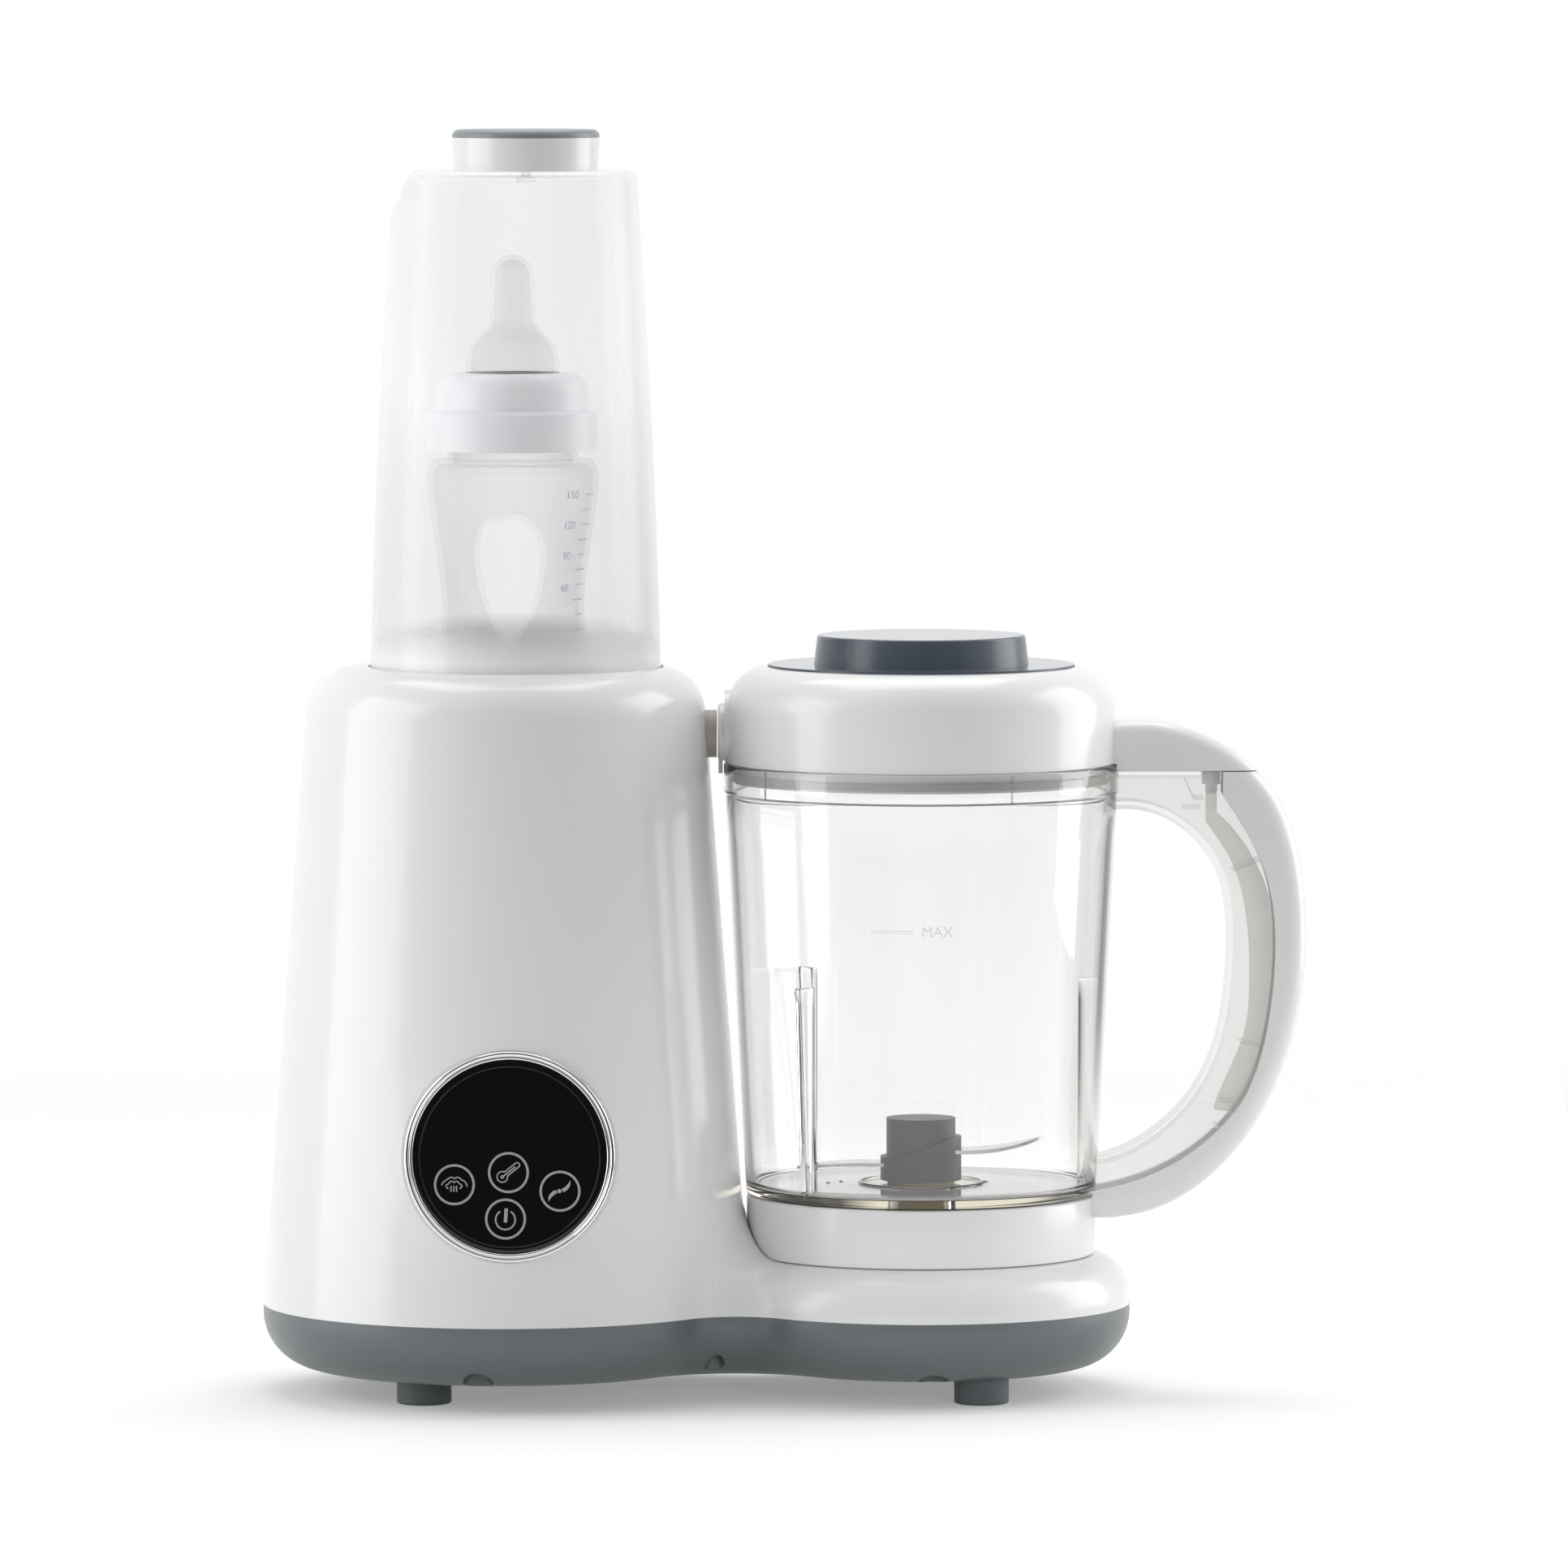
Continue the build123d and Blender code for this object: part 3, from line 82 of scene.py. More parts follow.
def buildGrain():
    # Fine moulding texture: bump from noise on the piece's own coordinates, and uneven roughness
    group, entry, leave = newGroup(
        "mouldedGrain",
        [("Scale", "NodeSocketFloat", 900.0), ("Depth", "NodeSocketFloat", 0.1),
         ("Roughness", "NodeSocketFloat", 0.3), ("Spread", "NodeSocketFloat", 0.06)],
        [("Roughness", "NodeSocketFloat"), ("Normal", "NodeSocketVector")],
    )
    place = addNode(group, "ShaderNodeTexCoord")
    fine = addNode(group, "ShaderNodeTexNoise", {"Detail": 3.0, "Roughness": 0.6})
    broad = addNode(group, "ShaderNodeTexNoise", {"Scale": 28.0, "Detail": 4.0, "Roughness": 0.55})
    bump = addNode(group, "ShaderNodeBump", {"Distance": 0.00012})
    link = group.links.new
    link(place.outputs["Object"], fine.inputs["Vector"])
    link(place.outputs["Object"], broad.inputs["Vector"])
    link(entry.outputs["Scale"], fine.inputs["Scale"])
    link(fine.outputs["Fac"], bump.inputs["Height"])
    link(entry.outputs["Depth"], bump.inputs["Strength"])
    centred = math2(group, "SUBTRACT", broad.outputs["Fac"], 0.5)
    swing = math2(group, "MULTIPLY", centred, entry.outputs["Spread"])
    rough = math2(group, "ADD", entry.outputs["Roughness"], swing, clamp=True)
    link(rough, leave.inputs["Roughness"])
    link(bump.outputs["Normal"], leave.inputs["Normal"])
    return group


def buildTint():
    # Slow drift of a colour towards a second one, and a little dust on faces that look up
    group, entry, leave = newGroup(
        "settledTint",
        [("Color", "NodeSocketColor", (0.8, 0.8, 0.8, 1)),
         ("Drift Color", "NodeSocketColor", (0.7, 0.7, 0.7, 1)),
         ("Drift", "NodeSocketFloat", 0.5), ("Dust", "NodeSocketFloat", 0.0)],
        [("Color", "NodeSocketColor")],
    )
    place = addNode(group, "ShaderNodeTexCoord")
    cloud = addNode(group, "ShaderNodeTexNoise", {"Scale": 14.0, "Detail": 5.0, "Roughness": 0.6})
    specks = addNode(group, "ShaderNodeTexNoise", {"Scale": 420.0, "Detail": 2.0})
    facing = addNode(group, "ShaderNodeNewGeometry")
    parts = addNode(group, "ShaderNodeSeparateXYZ")
    drift = addNode(group, "ShaderNodeMix", data_type="RGBA")
    dusted = addNode(group, "ShaderNodeMix", data_type="RGBA")
    dusted.inputs[7].default_value = (0.62, 0.61, 0.59, 1)
    link = group.links.new
    link(place.outputs["Object"], cloud.inputs["Vector"])
    link(place.outputs["Object"], specks.inputs["Vector"])
    link(facing.outputs["Normal"], parts.inputs["Vector"])
    link(math2(group, "MULTIPLY", cloud.outputs["Fac"], entry.outputs["Drift"]), drift.inputs[0])
    link(entry.outputs["Color"], drift.inputs[6])
    link(entry.outputs["Drift Color"], drift.inputs[7])
    upward = math2(group, "MULTIPLY", math2(group, "MAXIMUM", parts.outputs["Z"], 0.0), entry.outputs["Dust"])
    spotted = math2(group, "MULTIPLY", upward, math2(group, "POWER", specks.outputs["Fac"], 2.0), clamp=True)
    link(spotted, dusted.inputs[0])
    link(drift.outputs[2], dusted.inputs[6])
    link(dusted.outputs[2], leave.inputs["Color"])
    return group


def buildBrush():
    # Brushed metal: noise stretched along one axis gives fine parallel lines
    group, entry, leave = newGroup(
        "brushedLines",
        [("Stretch", "NodeSocketVector", (40.0, 2600.0, 2600.0)), ("Depth", "NodeSocketFloat", 0.15),
         ("Roughness", "NodeSocketFloat", 0.25)],
        [("Roughness", "NodeSocketFloat"), ("Normal", "NodeSocketVector")],
    )
    place = addNode(group, "ShaderNodeTexCoord")
    stretch = addNode(group, "ShaderNodeVectorMath", operation="MULTIPLY")
    lines = addNode(group, "ShaderNodeTexNoise", {"Scale": 1.0, "Detail": 4.0})
    bump = addNode(group, "ShaderNodeBump", {"Distance": 0.00005})
    link = group.links.new
    link(place.outputs["Object"], stretch.inputs[0])
    link(entry.outputs["Stretch"], stretch.inputs[1])
    link(stretch.outputs[0], lines.inputs["Vector"])
    link(lines.outputs["Fac"], bump.inputs["Height"])
    link(entry.outputs["Depth"], bump.inputs["Strength"])
    swing = math2(group, "MULTIPLY", math2(group, "SUBTRACT", lines.outputs["Fac"], 0.5), 0.3)
    link(math2(group, "ADD", entry.outputs["Roughness"], swing, clamp=True), leave.inputs["Roughness"])
    link(bump.outputs["Normal"], leave.inputs["Normal"])
    return group


grainGroup = buildGrain()
tintGroup = buildTint()
brushGroup = buildBrush()
print("node groups built")


# Materials

surfaceSetup = {            # shared by the materials
    "drift": 0.8,           # share of the slow change of colour
    "metalDrift": 0.6,
    "coatRoughness": 0.06,
    "milkReach": (0.004, 0.004, 0.0036),        # metres that light goes inside milky plastic
    "milkScale": 0.5,
    "flowMarks": 60.0,      # scale of the marks in clear plastic
    "frostGrain": 1400.0,   # scale, depth and spread of the grain of see-through milky plastic
    "frostDepth": 0.08,
}


def newMaterial(name):
    # Plain material with its node tree and its surface shader
    material = bpy.data.materials.new(name)
    material.use_nodes = True
    shader = material.node_tree.nodes["Principled BSDF"]
    return material, material.node_tree, shader


def placeGroup(tree, group, **values):
    # A shared group put into a material; an underscore in a value's name stands for a space
    node = tree.nodes.new("ShaderNodeGroup")
    node.node_tree = group
    for key, value in values.items():
        node.inputs[key.replace("_", " ")].default_value = value
    return node


def shade(color, factor=1.0):
    # Colour socket value from three levels, all times the factor
    return tuple(level * factor for level in color) + (1.0,)


def tinted(tree, shader, color, drift, share, **values):
    # Base colour that drifts slowly towards itself times drift
    tintNode = placeGroup(tree, tintGroup, Color=shade(color), Drift_Color=shade(color, drift), Drift=share,
                          **values)
    tree.links.new(tintNode.outputs["Color"], shader.inputs["Base Color"])


def textured(tree, shader, group, **values):
    # Surface lines or grain from a shared group
    grainNode = placeGroup(tree, group, **values)
    tree.links.new(grainNode.outputs["Roughness"], shader.inputs["Roughness"])
    tree.links.new(grainNode.outputs["Normal"], shader.inputs["Normal"])
    return grainNode.outputs["Roughness"]


def moulded(name, color, roughness, drift=0.94, grain=900.0, depth=0.1, spread=0.08, dust=0.0, coat=0.0,
            specular=0.5, metallic=0.0, subsurface=0.0, level=None):
    # Opaque moulded plastic, rubber or cast metal; level is how much smoother its faces that look up are
    material, tree, shader = newMaterial(name)
    rough = textured(tree, shader, grainGroup, Scale=grain, Depth=depth, Roughness=roughness, Spread=spread)
    tinted(tree, shader, color, drift, surfaceSetup["drift"], Dust=dust)
    if level:
        facing = addNode(tree, "ShaderNodeNewGeometry")
        split = addNode(tree, "ShaderNodeSeparateXYZ")
        tree.links.new(facing.outputs["Normal"], split.inputs[0])
        eased = math2(tree, "MULTIPLY", math2(tree, "MAXIMUM", split.outputs["Z"], 0.0), level)
        tree.links.new(math2(tree, "SUBTRACT", rough, eased, clamp=True), shader.inputs["Roughness"])
    shader.inputs["Coat Weight"].default_value = coat
    shader.inputs["Coat Roughness"].default_value = surfaceSetup["coatRoughness"]
    shader.inputs["Specular IOR Level"].default_value = specular
    shader.inputs["Metallic"].default_value = metallic
    if subsurface:
        shader.inputs["Subsurface Weight"].default_value = subsurface
        shader.inputs["Subsurface Radius"].default_value = surfaceSetup["milkReach"]
        shader.inputs["Subsurface Scale"].default_value = surfaceSetup["milkScale"]
    return material


def brushed(name, color, roughness, stretch=(40.0, 2600.0, 2600.0), depth=0.15):
    # Drawn or ground metal with parallel lines
    material, tree, shader = newMaterial(name)
    textured(tree, shader, brushGroup, Stretch=stretch, Depth=depth, Roughness=roughness)
    tinted(tree, shader, color, 0.85, surfaceSetup["metalDrift"])
    shader.inputs["Metallic"].default_value = 1.0
    return material


def lampsPass(tree, shader, cover, share, scattered=False):
    # Light on its way from a lamp meets only a share of the cover, so things behind the plastic stay bright;
    # with scattered, light from the room does so too
    path = addNode(tree, "ShaderNodeLightPath")
    passing = path.outputs["Is Shadow Ray"]
    if scattered:
        passing = math2(tree, "MAXIMUM", passing, path.outputs["Is Diffuse Ray"])
    held = math2(tree, "SUBTRACT", 1.0, math2(tree, "MULTIPLY", passing, 1.0 - share))
    tree.links.new(math2(tree, "MULTIPLY", held, cover), shader.inputs["Alpha"])


def clearPlastic(name, color, roughness, ior, tint, density, depth=0.02, spread=0.01, share=0.12):
    # Clear moulded plastic: bent light, faint flow marks, and a tint that grows with the thickness
    material, tree, shader = newMaterial(name)
    textured(tree, shader, grainGroup, Scale=surfaceSetup["flowMarks"], Depth=depth, Roughness=roughness,
             Spread=spread)
    tinted(tree, shader, color, 0.997, surfaceSetup["drift"])
    shader.inputs["Transmission Weight"].default_value = 1.0
    shader.inputs["IOR"].default_value = ior
    lampsPass(tree, shader, 1.0, share)
    inside = addNode(tree, "ShaderNodeVolumeAbsorption", {"Color": shade(tint), "Density": density})
    tree.links.new(inside.outputs[0], tree.nodes["Material Output"].inputs["Volume"])
    return material


def frosted(name, color, roughness, thin, edge, mist=None, share=0.35, scattered=False):
    # Milky see-through plastic: thin where it is seen face on, denser where its wall is seen edge on; mist is
    # the heights between which it grows denser downwards, and how dense it gets
    material, tree, shader = newMaterial(name)
    textured(tree, shader, grainGroup, Scale=surfaceSetup["frostGrain"], Depth=surfaceSetup["frostDepth"],
             Roughness=roughness, Spread=surfaceSetup["frostDepth"])
    tinted(tree, shader, color, 0.97, surfaceSetup["drift"])
    facing = addNode(tree, "ShaderNodeLayerWeight", {"Blend": 0.5})
    cover = addNode(tree, "ShaderNodeMapRange", {"To Min": thin, "To Max": edge})
    tree.links.new(facing.outputs["Facing"], cover.inputs["Value"])
    covered = cover.outputs["Result"]
    if mist:
        place = addNode(tree, "ShaderNodeTexCoord")
        split = addNode(tree, "ShaderNodeSeparateXYZ")
        fog = addNode(tree, "ShaderNodeMapRange", {"From Min": mist[0], "From Max": mist[1], "To Max": mist[2]})
        tree.links.new(place.outputs["Object"], split.inputs[0])
        tree.links.new(split.outputs["Z"], fog.inputs["Value"])
        covered = math2(tree, "MAXIMUM", covered, fog.outputs["Result"])
    lampsPass(tree, shader, covered, share, scattered)
    return material


whitePlastic = moulded("glossyWhitePlastic", (0.84, 0.84, 0.845), 0.24, drift=0.985, grain=500, depth=0.035,
                       dust=0.02, coat=0.25)
trayPlastic = moulded("greyGreenTray", (0.125, 0.150, 0.155), 0.33, drift=0.93, grain=1500, depth=0.08,
                      dust=0.06, specular=0.75)
footRubber = moulded("footRubber", (0.13, 0.155, 0.16), 0.55, grain=2200, depth=0.2)
blackRubber = moulded("blackRubber", (0.02, 0.02, 0.021), 0.6, grain=2200, depth=0.2)
capPlastic = moulded("blueGreyCap", (0.094, 0.116, 0.145), 0.28, drift=0.94, grain=1200, depth=0.03, dust=0.02,
                     level=0.2)
knobCapPlastic = moulded("greyKnobCap", (0.24, 0.27, 0.285), 0.36, drift=0.95, grain=1200, depth=0.06)
hubPlastic = moulded("greyHub", (0.215, 0.22, 0.225), 0.42, drift=0.35, grain=500, depth=0.4, spread=0.2,
                     dust=0.25)
darkPlastic = moulded("darkPlastic", (0.03, 0.03, 0.032), 0.45, grain=1500, depth=0.1)
panelGloss = moulded("blackPanelWindow", (0.0045, 0.0045, 0.005), 0.05, grain=300, depth=0.0, spread=0.01)
beigeSilicone = moulded("beigeSilicone", (0.42, 0.39, 0.33), 0.5, grain=1600, depth=0.1)
greySilicone = moulded("greySilicone", (0.55, 0.55, 0.54), 0.5, grain=1600, depth=0.1)
whiteSatin = moulded("satinWhitePlastic", (0.80, 0.80, 0.805), 0.4, drift=0.98, grain=1400, depth=0.06)
boardGreen = moulded("boardGreen", (0.02, 0.12, 0.05), 0.35, grain=2000, depth=0.1)
# Chamber under the hood: its grey is raised to near white, painted light for its shaded inside, which shows
# through the hood's foot
chamberPaintedLight = moulded("chamberGreyPaintedLight", (0.84, 0.845, 0.85), 0.35, grain=1200, depth=0.06)
tickBlue = moulded("bluePrint", (0.42, 0.50, 0.62), 0.4, grain=3000, depth=0.05)
printGrey = moulded("greyPrint", (0.36, 0.38, 0.38), 0.4, grain=3000, depth=0.05)
amberSilicone = moulded("amberSilicone", (0.62, 0.50, 0.30), 0.4, grain=1200, depth=0.06)
ferrite = moulded("darkFerrite", (0.03, 0.03, 0.032), 0.6, grain=2600, depth=0.3)
copperWire = moulded("enamelledCopper", (0.55, 0.22, 0.08), 0.35, grain=2600, depth=0.3, metallic=0.8)
leadSleeve = moulded("leadSleeve", (0.7, 0.7, 0.68), 0.5, grain=2600, depth=0.2)
castAlloy = moulded("castAlloy", (0.6, 0.6, 0.61), 0.45, grain=1800, depth=0.25, metallic=1.0)
bronze = moulded("sinteredBronze", (0.45, 0.30, 0.13), 0.4, grain=2600, depth=0.2, metallic=1.0)
plateSteel = brushed("brushedPlate", (0.62, 0.62, 0.63), 0.3)
bladeSteel = brushed("groundBlade", (0.66, 0.66, 0.67), 0.18, stretch=(60.0, 1800.0, 1800.0), depth=0.1)
screwSteel = brushed("zincScrew", (0.6, 0.6, 0.6), 0.3, stretch=(900.0, 900.0, 200.0))
shaftSteel = brushed("groundShaft", (0.66, 0.66, 0.67), 0.22, stretch=(300.0, 300.0, 5000.0))
canSteel = brushed("motorCan", (0.5, 0.5, 0.51), 0.35, stretch=(300.0, 300.0, 3000.0))
chrome = moulded("brightChrome", (0.86, 0.86, 0.87), 0.07, drift=0.98, grain=400, depth=0.01, spread=0.03,
                 metallic=1.0)
jugPlastic = clearPlastic("clearJugPlastic", (1.0, 1.0, 1.0), 0.012, ior=1.52, tint=(0.80, 0.73, 0.52),
                          density=9.0)
handlePlastic = frosted("clearHandlePlastic", (0.78, 0.765, 0.73), 0.10, 0.11, 0.80, share=0.05, scattered=True)
rodPlastic = frosted("beigeRod", (0.84, 0.81, 0.74), 0.40, 0.42, 0.70)
bottlePlastic = frosted("bottlePlastic", (0.93, 0.94, 0.955), 0.12, 0.022, 0.24, scattered=True)
collarPlastic = moulded("bottleCollarPlastic", (0.90, 0.91, 0.94), 0.3, drift=0.98, grain=700, depth=0.03,
                        subsurface=0.2)
markGrey = frosted("raisedMark", (0.86, 0.86, 0.85), 0.4, 0.42, 0.55)
teatSilicone = frosted("teatSilicone", (0.95, 0.955, 0.96), 0.35, 0.09, 0.22, scattered=True)
hoodPlastic = frosted("frostedHoodPlastic", (0.935, 0.942, 0.957), 0.14, 0.085, 0.58, mist=(0.254, 0.241, 0.84),
                      scattered=True)
print("materials made:", len(bpy.data.materials))

finishOf = {
    "base_tray": trayPlastic, "rubber_feet": footRubber, "tray_screws": screwSteel,
    "main_housing": whitePlastic, "panel_bezel": chrome, "panel_glass": panelGloss, "touch_board": boardGreen,
    "steam_well": chamberPaintedLight, "heater_plate": plateSteel, "heater_seal": greySilicone,
    "heater_screws": screwSteel, "heating_element": castAlloy, "thermostat": darkPlastic,
    "steam_duct": greySilicone, "steam_nozzle": beigeSilicone, "motor_mount": plateSteel,
    "motor_grommets": blackRubber,
    "motor_screws": screwSteel, "motor_can": canSteel, "motor_bearings": bronze, "motor_magnets": ferrite,
    "motor_brushes": bronze, "drive_belt": blackRubber, "drive_bearings": bronze, "shaft_seal": greySilicone,
    "pin_spring": shaftSteel, "safety_switch": darkPlastic, "power_board": boardGreen,
    "heater_leads": leadSleeve, "panel_cable": leadSleeve, "cord_gland": blackRubber, "motor_shaft": shaftSteel,
    "armature": copperWire, "motor_fan": darkPlastic, "motor_pulley": darkPlastic, "drive_shaft": shaftSteel,
    "drive_pulley": darkPlastic, "drive_coupling": darkPlastic, "interlock_pin": beigeSilicone,
    "bottle_stand": whiteSatin, "bottle_body": bottlePlastic, "bottle_collar": collarPlastic,
    "bottle_teat": teatSilicone, "hood_shell": hoodPlastic, "hood_knob": whitePlastic,
    "knob_cap": knobCapPlastic, "hood_screw": hoodPlastic, "jug_body": jugPlastic, "jug_collar": whitePlastic,
    "handle_channel": handlePlastic, "handle_grip": whitePlastic, "spindle_bush": amberSilicone,
    "interlock_rod": rodPlastic, "blade_spindle": darkPlastic, "blade_hub": hubPlastic,
    "blades": bladeSteel, "lid_shell": whitePlastic, "lid_seal": greySilicone, "steam_port": whitePlastic,
    "filler_cap": capPlastic,
}
for name, node in nodes.items():
    node.data.materials.clear()
    node.data.materials.append(finishOf[name])


# New pieces: grids of points made with numpy, in metres in the row frame

def gridFaces(rows, columns, wrapRows, wrapColumns):
    # Every cell of the grid is one quad; a wrapped direction also joins its last line to its first
    i, j = np.meshgrid(np.arange(rows - (not wrapRows)), np.arange(columns - (not wrapColumns)), indexing="ij")
    nextI, nextJ = (i + 1) % rows, (j + 1) % columns
    corners = [i * columns + j, i * columns + nextJ, nextI * columns + nextJ, nextI * columns + j]
    return np.stack(corners, -1).reshape(-1, 4)


def outward(points, faces):
    # The volume under the triangles of each quad is positive where faces point outwards
    a, b, c, d = (points[faces[:, k]] for k in range(4))
    volume = np.einsum("ij,ij->", np.cross(a, b), c) + np.einsum("ij,ij->", np.cross(a, c), d)
    return faces if volume > 0 else faces[:, ::-1]


def addPiece(name, grids, material, body, stands=(), sharp=35):
    # Grids are (points of shape rows x columns x 3, wrapRows, capped); columns always wrap round
    vertices, faces, start = [], [], 0
    for points, wrapRows, capped in grids:
        rows, columns = points.shape[:2]
        flat = points.reshape(-1, 3)
        quads = gridFaces(rows, columns, wrapRows, True)
        first, last = np.arange(columns), (rows - 1) * columns + np.arange(columns)
        turned = outward(flat - flat.mean(0), quads)
        ends = [first[::-1], last] if turned is quads else [first, last[::-1]]
        faces += (turned + start).tolist()
        if capped:
            faces += [(end + start).tolist() for end in ends]
        vertices.append(flat)
        start += len(flat)
    mesh = bpy.data.meshes.new(name)
    mesh.from_pydata(np.vstack(vertices).tolist(), [], faces)
    mesh.polygons.foreach_set("use_smooth", np.ones(len(mesh.polygons), bool))
    mesh.set_sharp_from_angle(angle=math.radians(sharp))
    mesh.materials.append(material)
    piece = bpy.data.objects.new(name, mesh)
    bpy.context.scene.collection.objects.link(piece)
    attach(piece, body)
    if stands:
        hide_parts(*stands)
    return piece


def curveThrough(points, count, closed=False):
    # Smooth run through the points: each stretch is a cubic whose end slopes are half the neighbours' chord
    p = np.asarray(points, float)
    if closed:
        p = np.vstack([p[-1], p, p[:2]])
    else:
        p = np.vstack([2 * p[0] - p[1], p, 2 * p[-1] - p[-2]])
    stretches = len(p) - 3
    t = np.linspace(0, stretches, count, endpoint=not closed)
    k = np.minimum(t.astype(int), stretches - 1)
    u = (t - k)[:, None]
    a, b, c, d = p[k], p[k + 1], p[k + 2], p[k + 3]
    return 0.5 * (2 * b + (c - a) * u + (2 * a - 5 * b + 4 * c - d) * u**2 + (3 * b - a - 3 * c + d) * u**3)


def onPanel(flat, height):
    # Points (across, up) in mm on the leaning panel, raised square to it by height in mm
    sine, cosine = math.sin(panelLean), math.cos(panelLean)
    across, up = flat[..., 0] / 1000, flat[..., 1] / 1000
    out = np.broadcast_to(height, across.shape) / 1000
    x = panelAt[0] + across
    y = panelAt[1] + up * sine - out * cosine
    z = panelAt[2] + up * cosine + out * sine
    return np.stack([x, y, z], -1)


def panelLathe(profile, count=128):
    # Profile of (radius, height) in mm turned about the panel's own axis
    angle = np.linspace(0, 2 * np.pi, count, endpoint=False)
    radius, height = np.asarray(profile, float).T
    flat = radius[:, None, None] * np.stack([np.cos(angle), np.sin(angle)], -1)
    return onPanel(flat, height[:, None])


def ribbon(path, halfWidth, low, high, closed=False):
    # Flat band on the panel: each point of the path gives two corners to its left and two to its right
    ahead = np.roll(path, -1, 0) - np.roll(path, 1, 0) if closed else np.gradient(path, axis=0)
    ahead = ahead / np.linalg.norm(ahead, axis=1, keepdims=True)
    side = np.stack([-ahead[:, 1], ahead[:, 0]], -1) * np.broadcast_to(halfWidth, len(path))[:, None]
    flat = np.stack([path + side, path + side, path - side, path - side], 1)
    height = np.broadcast_to(np.array([low, high, high, low]), flat.shape[:2])
    return onPanel(flat, height), closed, not closed


def arc(centre, radius, first, last, count):
    # Points on a circle between two angles in degrees
    angle = np.radians(np.linspace(first, last, count))
    return np.asarray(centre) + radius * np.stack([np.cos(angle), np.sin(angle)], -1)


def lathe(profile, x=0.0, count=160):
    # Profile of (radius, height) in mm turned about the upright line through (x, 0), x in metres
    angle = np.linspace(0, 2 * np.pi, count, endpoint=False)
    radius, height = np.asarray(profile, float).T / 1000
    return np.stack([x + radius[:, None] * np.cos(angle), radius[:, None] * np.sin(angle),
                     np.broadcast_to(height[:, None], (len(radius), count))], -1)


def corner(radius, height, size, first, last, count=6):
    # Rounded corner of a profile: an arc of the given size about its own middle, angles in degrees
    angle = np.radians(np.linspace(first, last, count))
    return list(zip(radius + size * np.cos(angle), height + size * np.sin(angle)))


def roundedBar(width, depth, size, count=5):
    # Closed outline of a rectangle with rounded corners, about its middle, in mm
    half = np.array([width / 2 - size, depth / 2 - size])
    turns = [np.radians(np.linspace(quarter, quarter + 90, count)) for quarter in (0, 90, 180, 270)]
    signs = [(1, 1), (-1, 1), (-1, -1), (1, -1)]
    arcs = [size * np.stack([np.cos(turn), np.sin(turn)], -1) for turn in turns]
    return np.vstack([half * sign + bend for sign, bend in zip(signs, arcs)])


jugSetup = {                # mm, turns in degrees
    "low": 64.62,           # underside, a hair over the white collar
    "lowRadius": 57.2,      # outside radius at lowAt
    "lowAt": 64.5,
    "slope": 0.051,         # radius gained for one mm of height
    "wall": 2.5,
    "bore": 7.55,           # radius of the hole for the bush
    "floor": 67.6,
    "beadRadius": 20.0,     # low round bead on the floor
    "rimLow": 196.4,
    "rimTop": 206.0,
    "rimRadius": 64.5,
    "rimInner": 61.9,
    "ribInner": 51.5,
    "ribTop": 135.5,
    "ribWidth": 3.0,
    "ribTurns": (-133, 0, 133),
    "seamWidth": 0.55,
    "seamTurns": (-142.0, -63.7),
}


def cupRadius(height):
    # Outside of the cup: its radius grows evenly with the height
    return jugSetup["lowRadius"] + (height - jugSetup["lowAt"]) * jugSetup["slope"]


def makeJug():
    # Cup as one turned outline with rounded corners; ribs and rim seams are upright bars set into its wall
    s = jugSetup
    low, floor, rimLow, rimTop, rim = s["low"], s["floor"], s["rimLow"], s["rimTop"], s["rimRadius"]
    middle, bead = (rimLow + rimTop) / 2 - 0.2, s["beadRadius"]
    rise = np.linspace(low + 2.2, rimLow - 0.6, 9)
    profile = [(s["bore"], low), (20, low), (40, low)]
    profile += corner(cupRadius(low) - 1.2, low + 1.2, 1.2, -90, -3)
    profile += [(cupRadius(z), z) for z in rise]
    profile += [(rim - 0.45, rimLow - 0.15), (rim - 0.15, rimLow + 0.05), (rim, rimLow + 0.4), (rim, middle)]
    profile += corner(rim - 0.8, rimTop - 0.8, 0.8, 0, 90)
    profile += corner(s["rimInner"] + 0.6, rimTop - 0.6, 0.6, 90, 180)
    profile += [(s["rimInner"], middle), (s["rimInner"], rimLow + 1.6), (s["rimInner"] - 0.15, rimLow + 1.0)]
    profile += [(cupRadius(z) - s["wall"], z) for z in (rimLow, *rise[:0:-1])]
    profile += corner(cupRadius(floor + 2.4) - s["wall"] - 2.4, floor + 2.4, 2.4, 0, -90)
    profile += [(40, floor)]
    profile += [(bead + out, floor + up) for out, up in
                ((0.75, 0), (0.55, 0.55), (0.3, 0.7), (-0.3, 0.7), (-0.55, 0.55), (-0.75, 0))]
    profile += [(11.2, floor), (s["bore"], floor)]
    grids = [(lathe(profile, jugX), True, False)]
    reach = np.array([floor - 0.4, floor + 6, 90, 110, 128, s["ribTop"] - 1.0, s["ribTop"] - 0.3, s["ribTop"]])
    shrink = np.array([1, 1, 1, 1, 1, 1, 0.9, 0.7])
    section = roundedBar(1.0, s["ribWidth"], 0.45)
    for turn in s["ribTurns"]:
        bar = uprightBar(section, turn, s["ribInner"], cupRadius(reach) - s["wall"] + 0.5, reach, shrink)
        grids.append((bar, False, True))
    tall = np.array([rimLow - 0.2, rimLow + 0.2, rimTop - 1.2, rimTop - 0.8])
    section = roundedBar(1.0, s["seamWidth"], 0.12)
    for turn in s["seamTurns"]:
        bar = uprightBar(section, turn, rim - 0.3, np.full(4, rim + 0.25), tall, np.array([0.6, 1, 1, 0.6]))
        grids.append((bar, False, True))
    addPiece("clearJug", grids, jugPlastic, "jug", ["jug_body"], sharp=40)


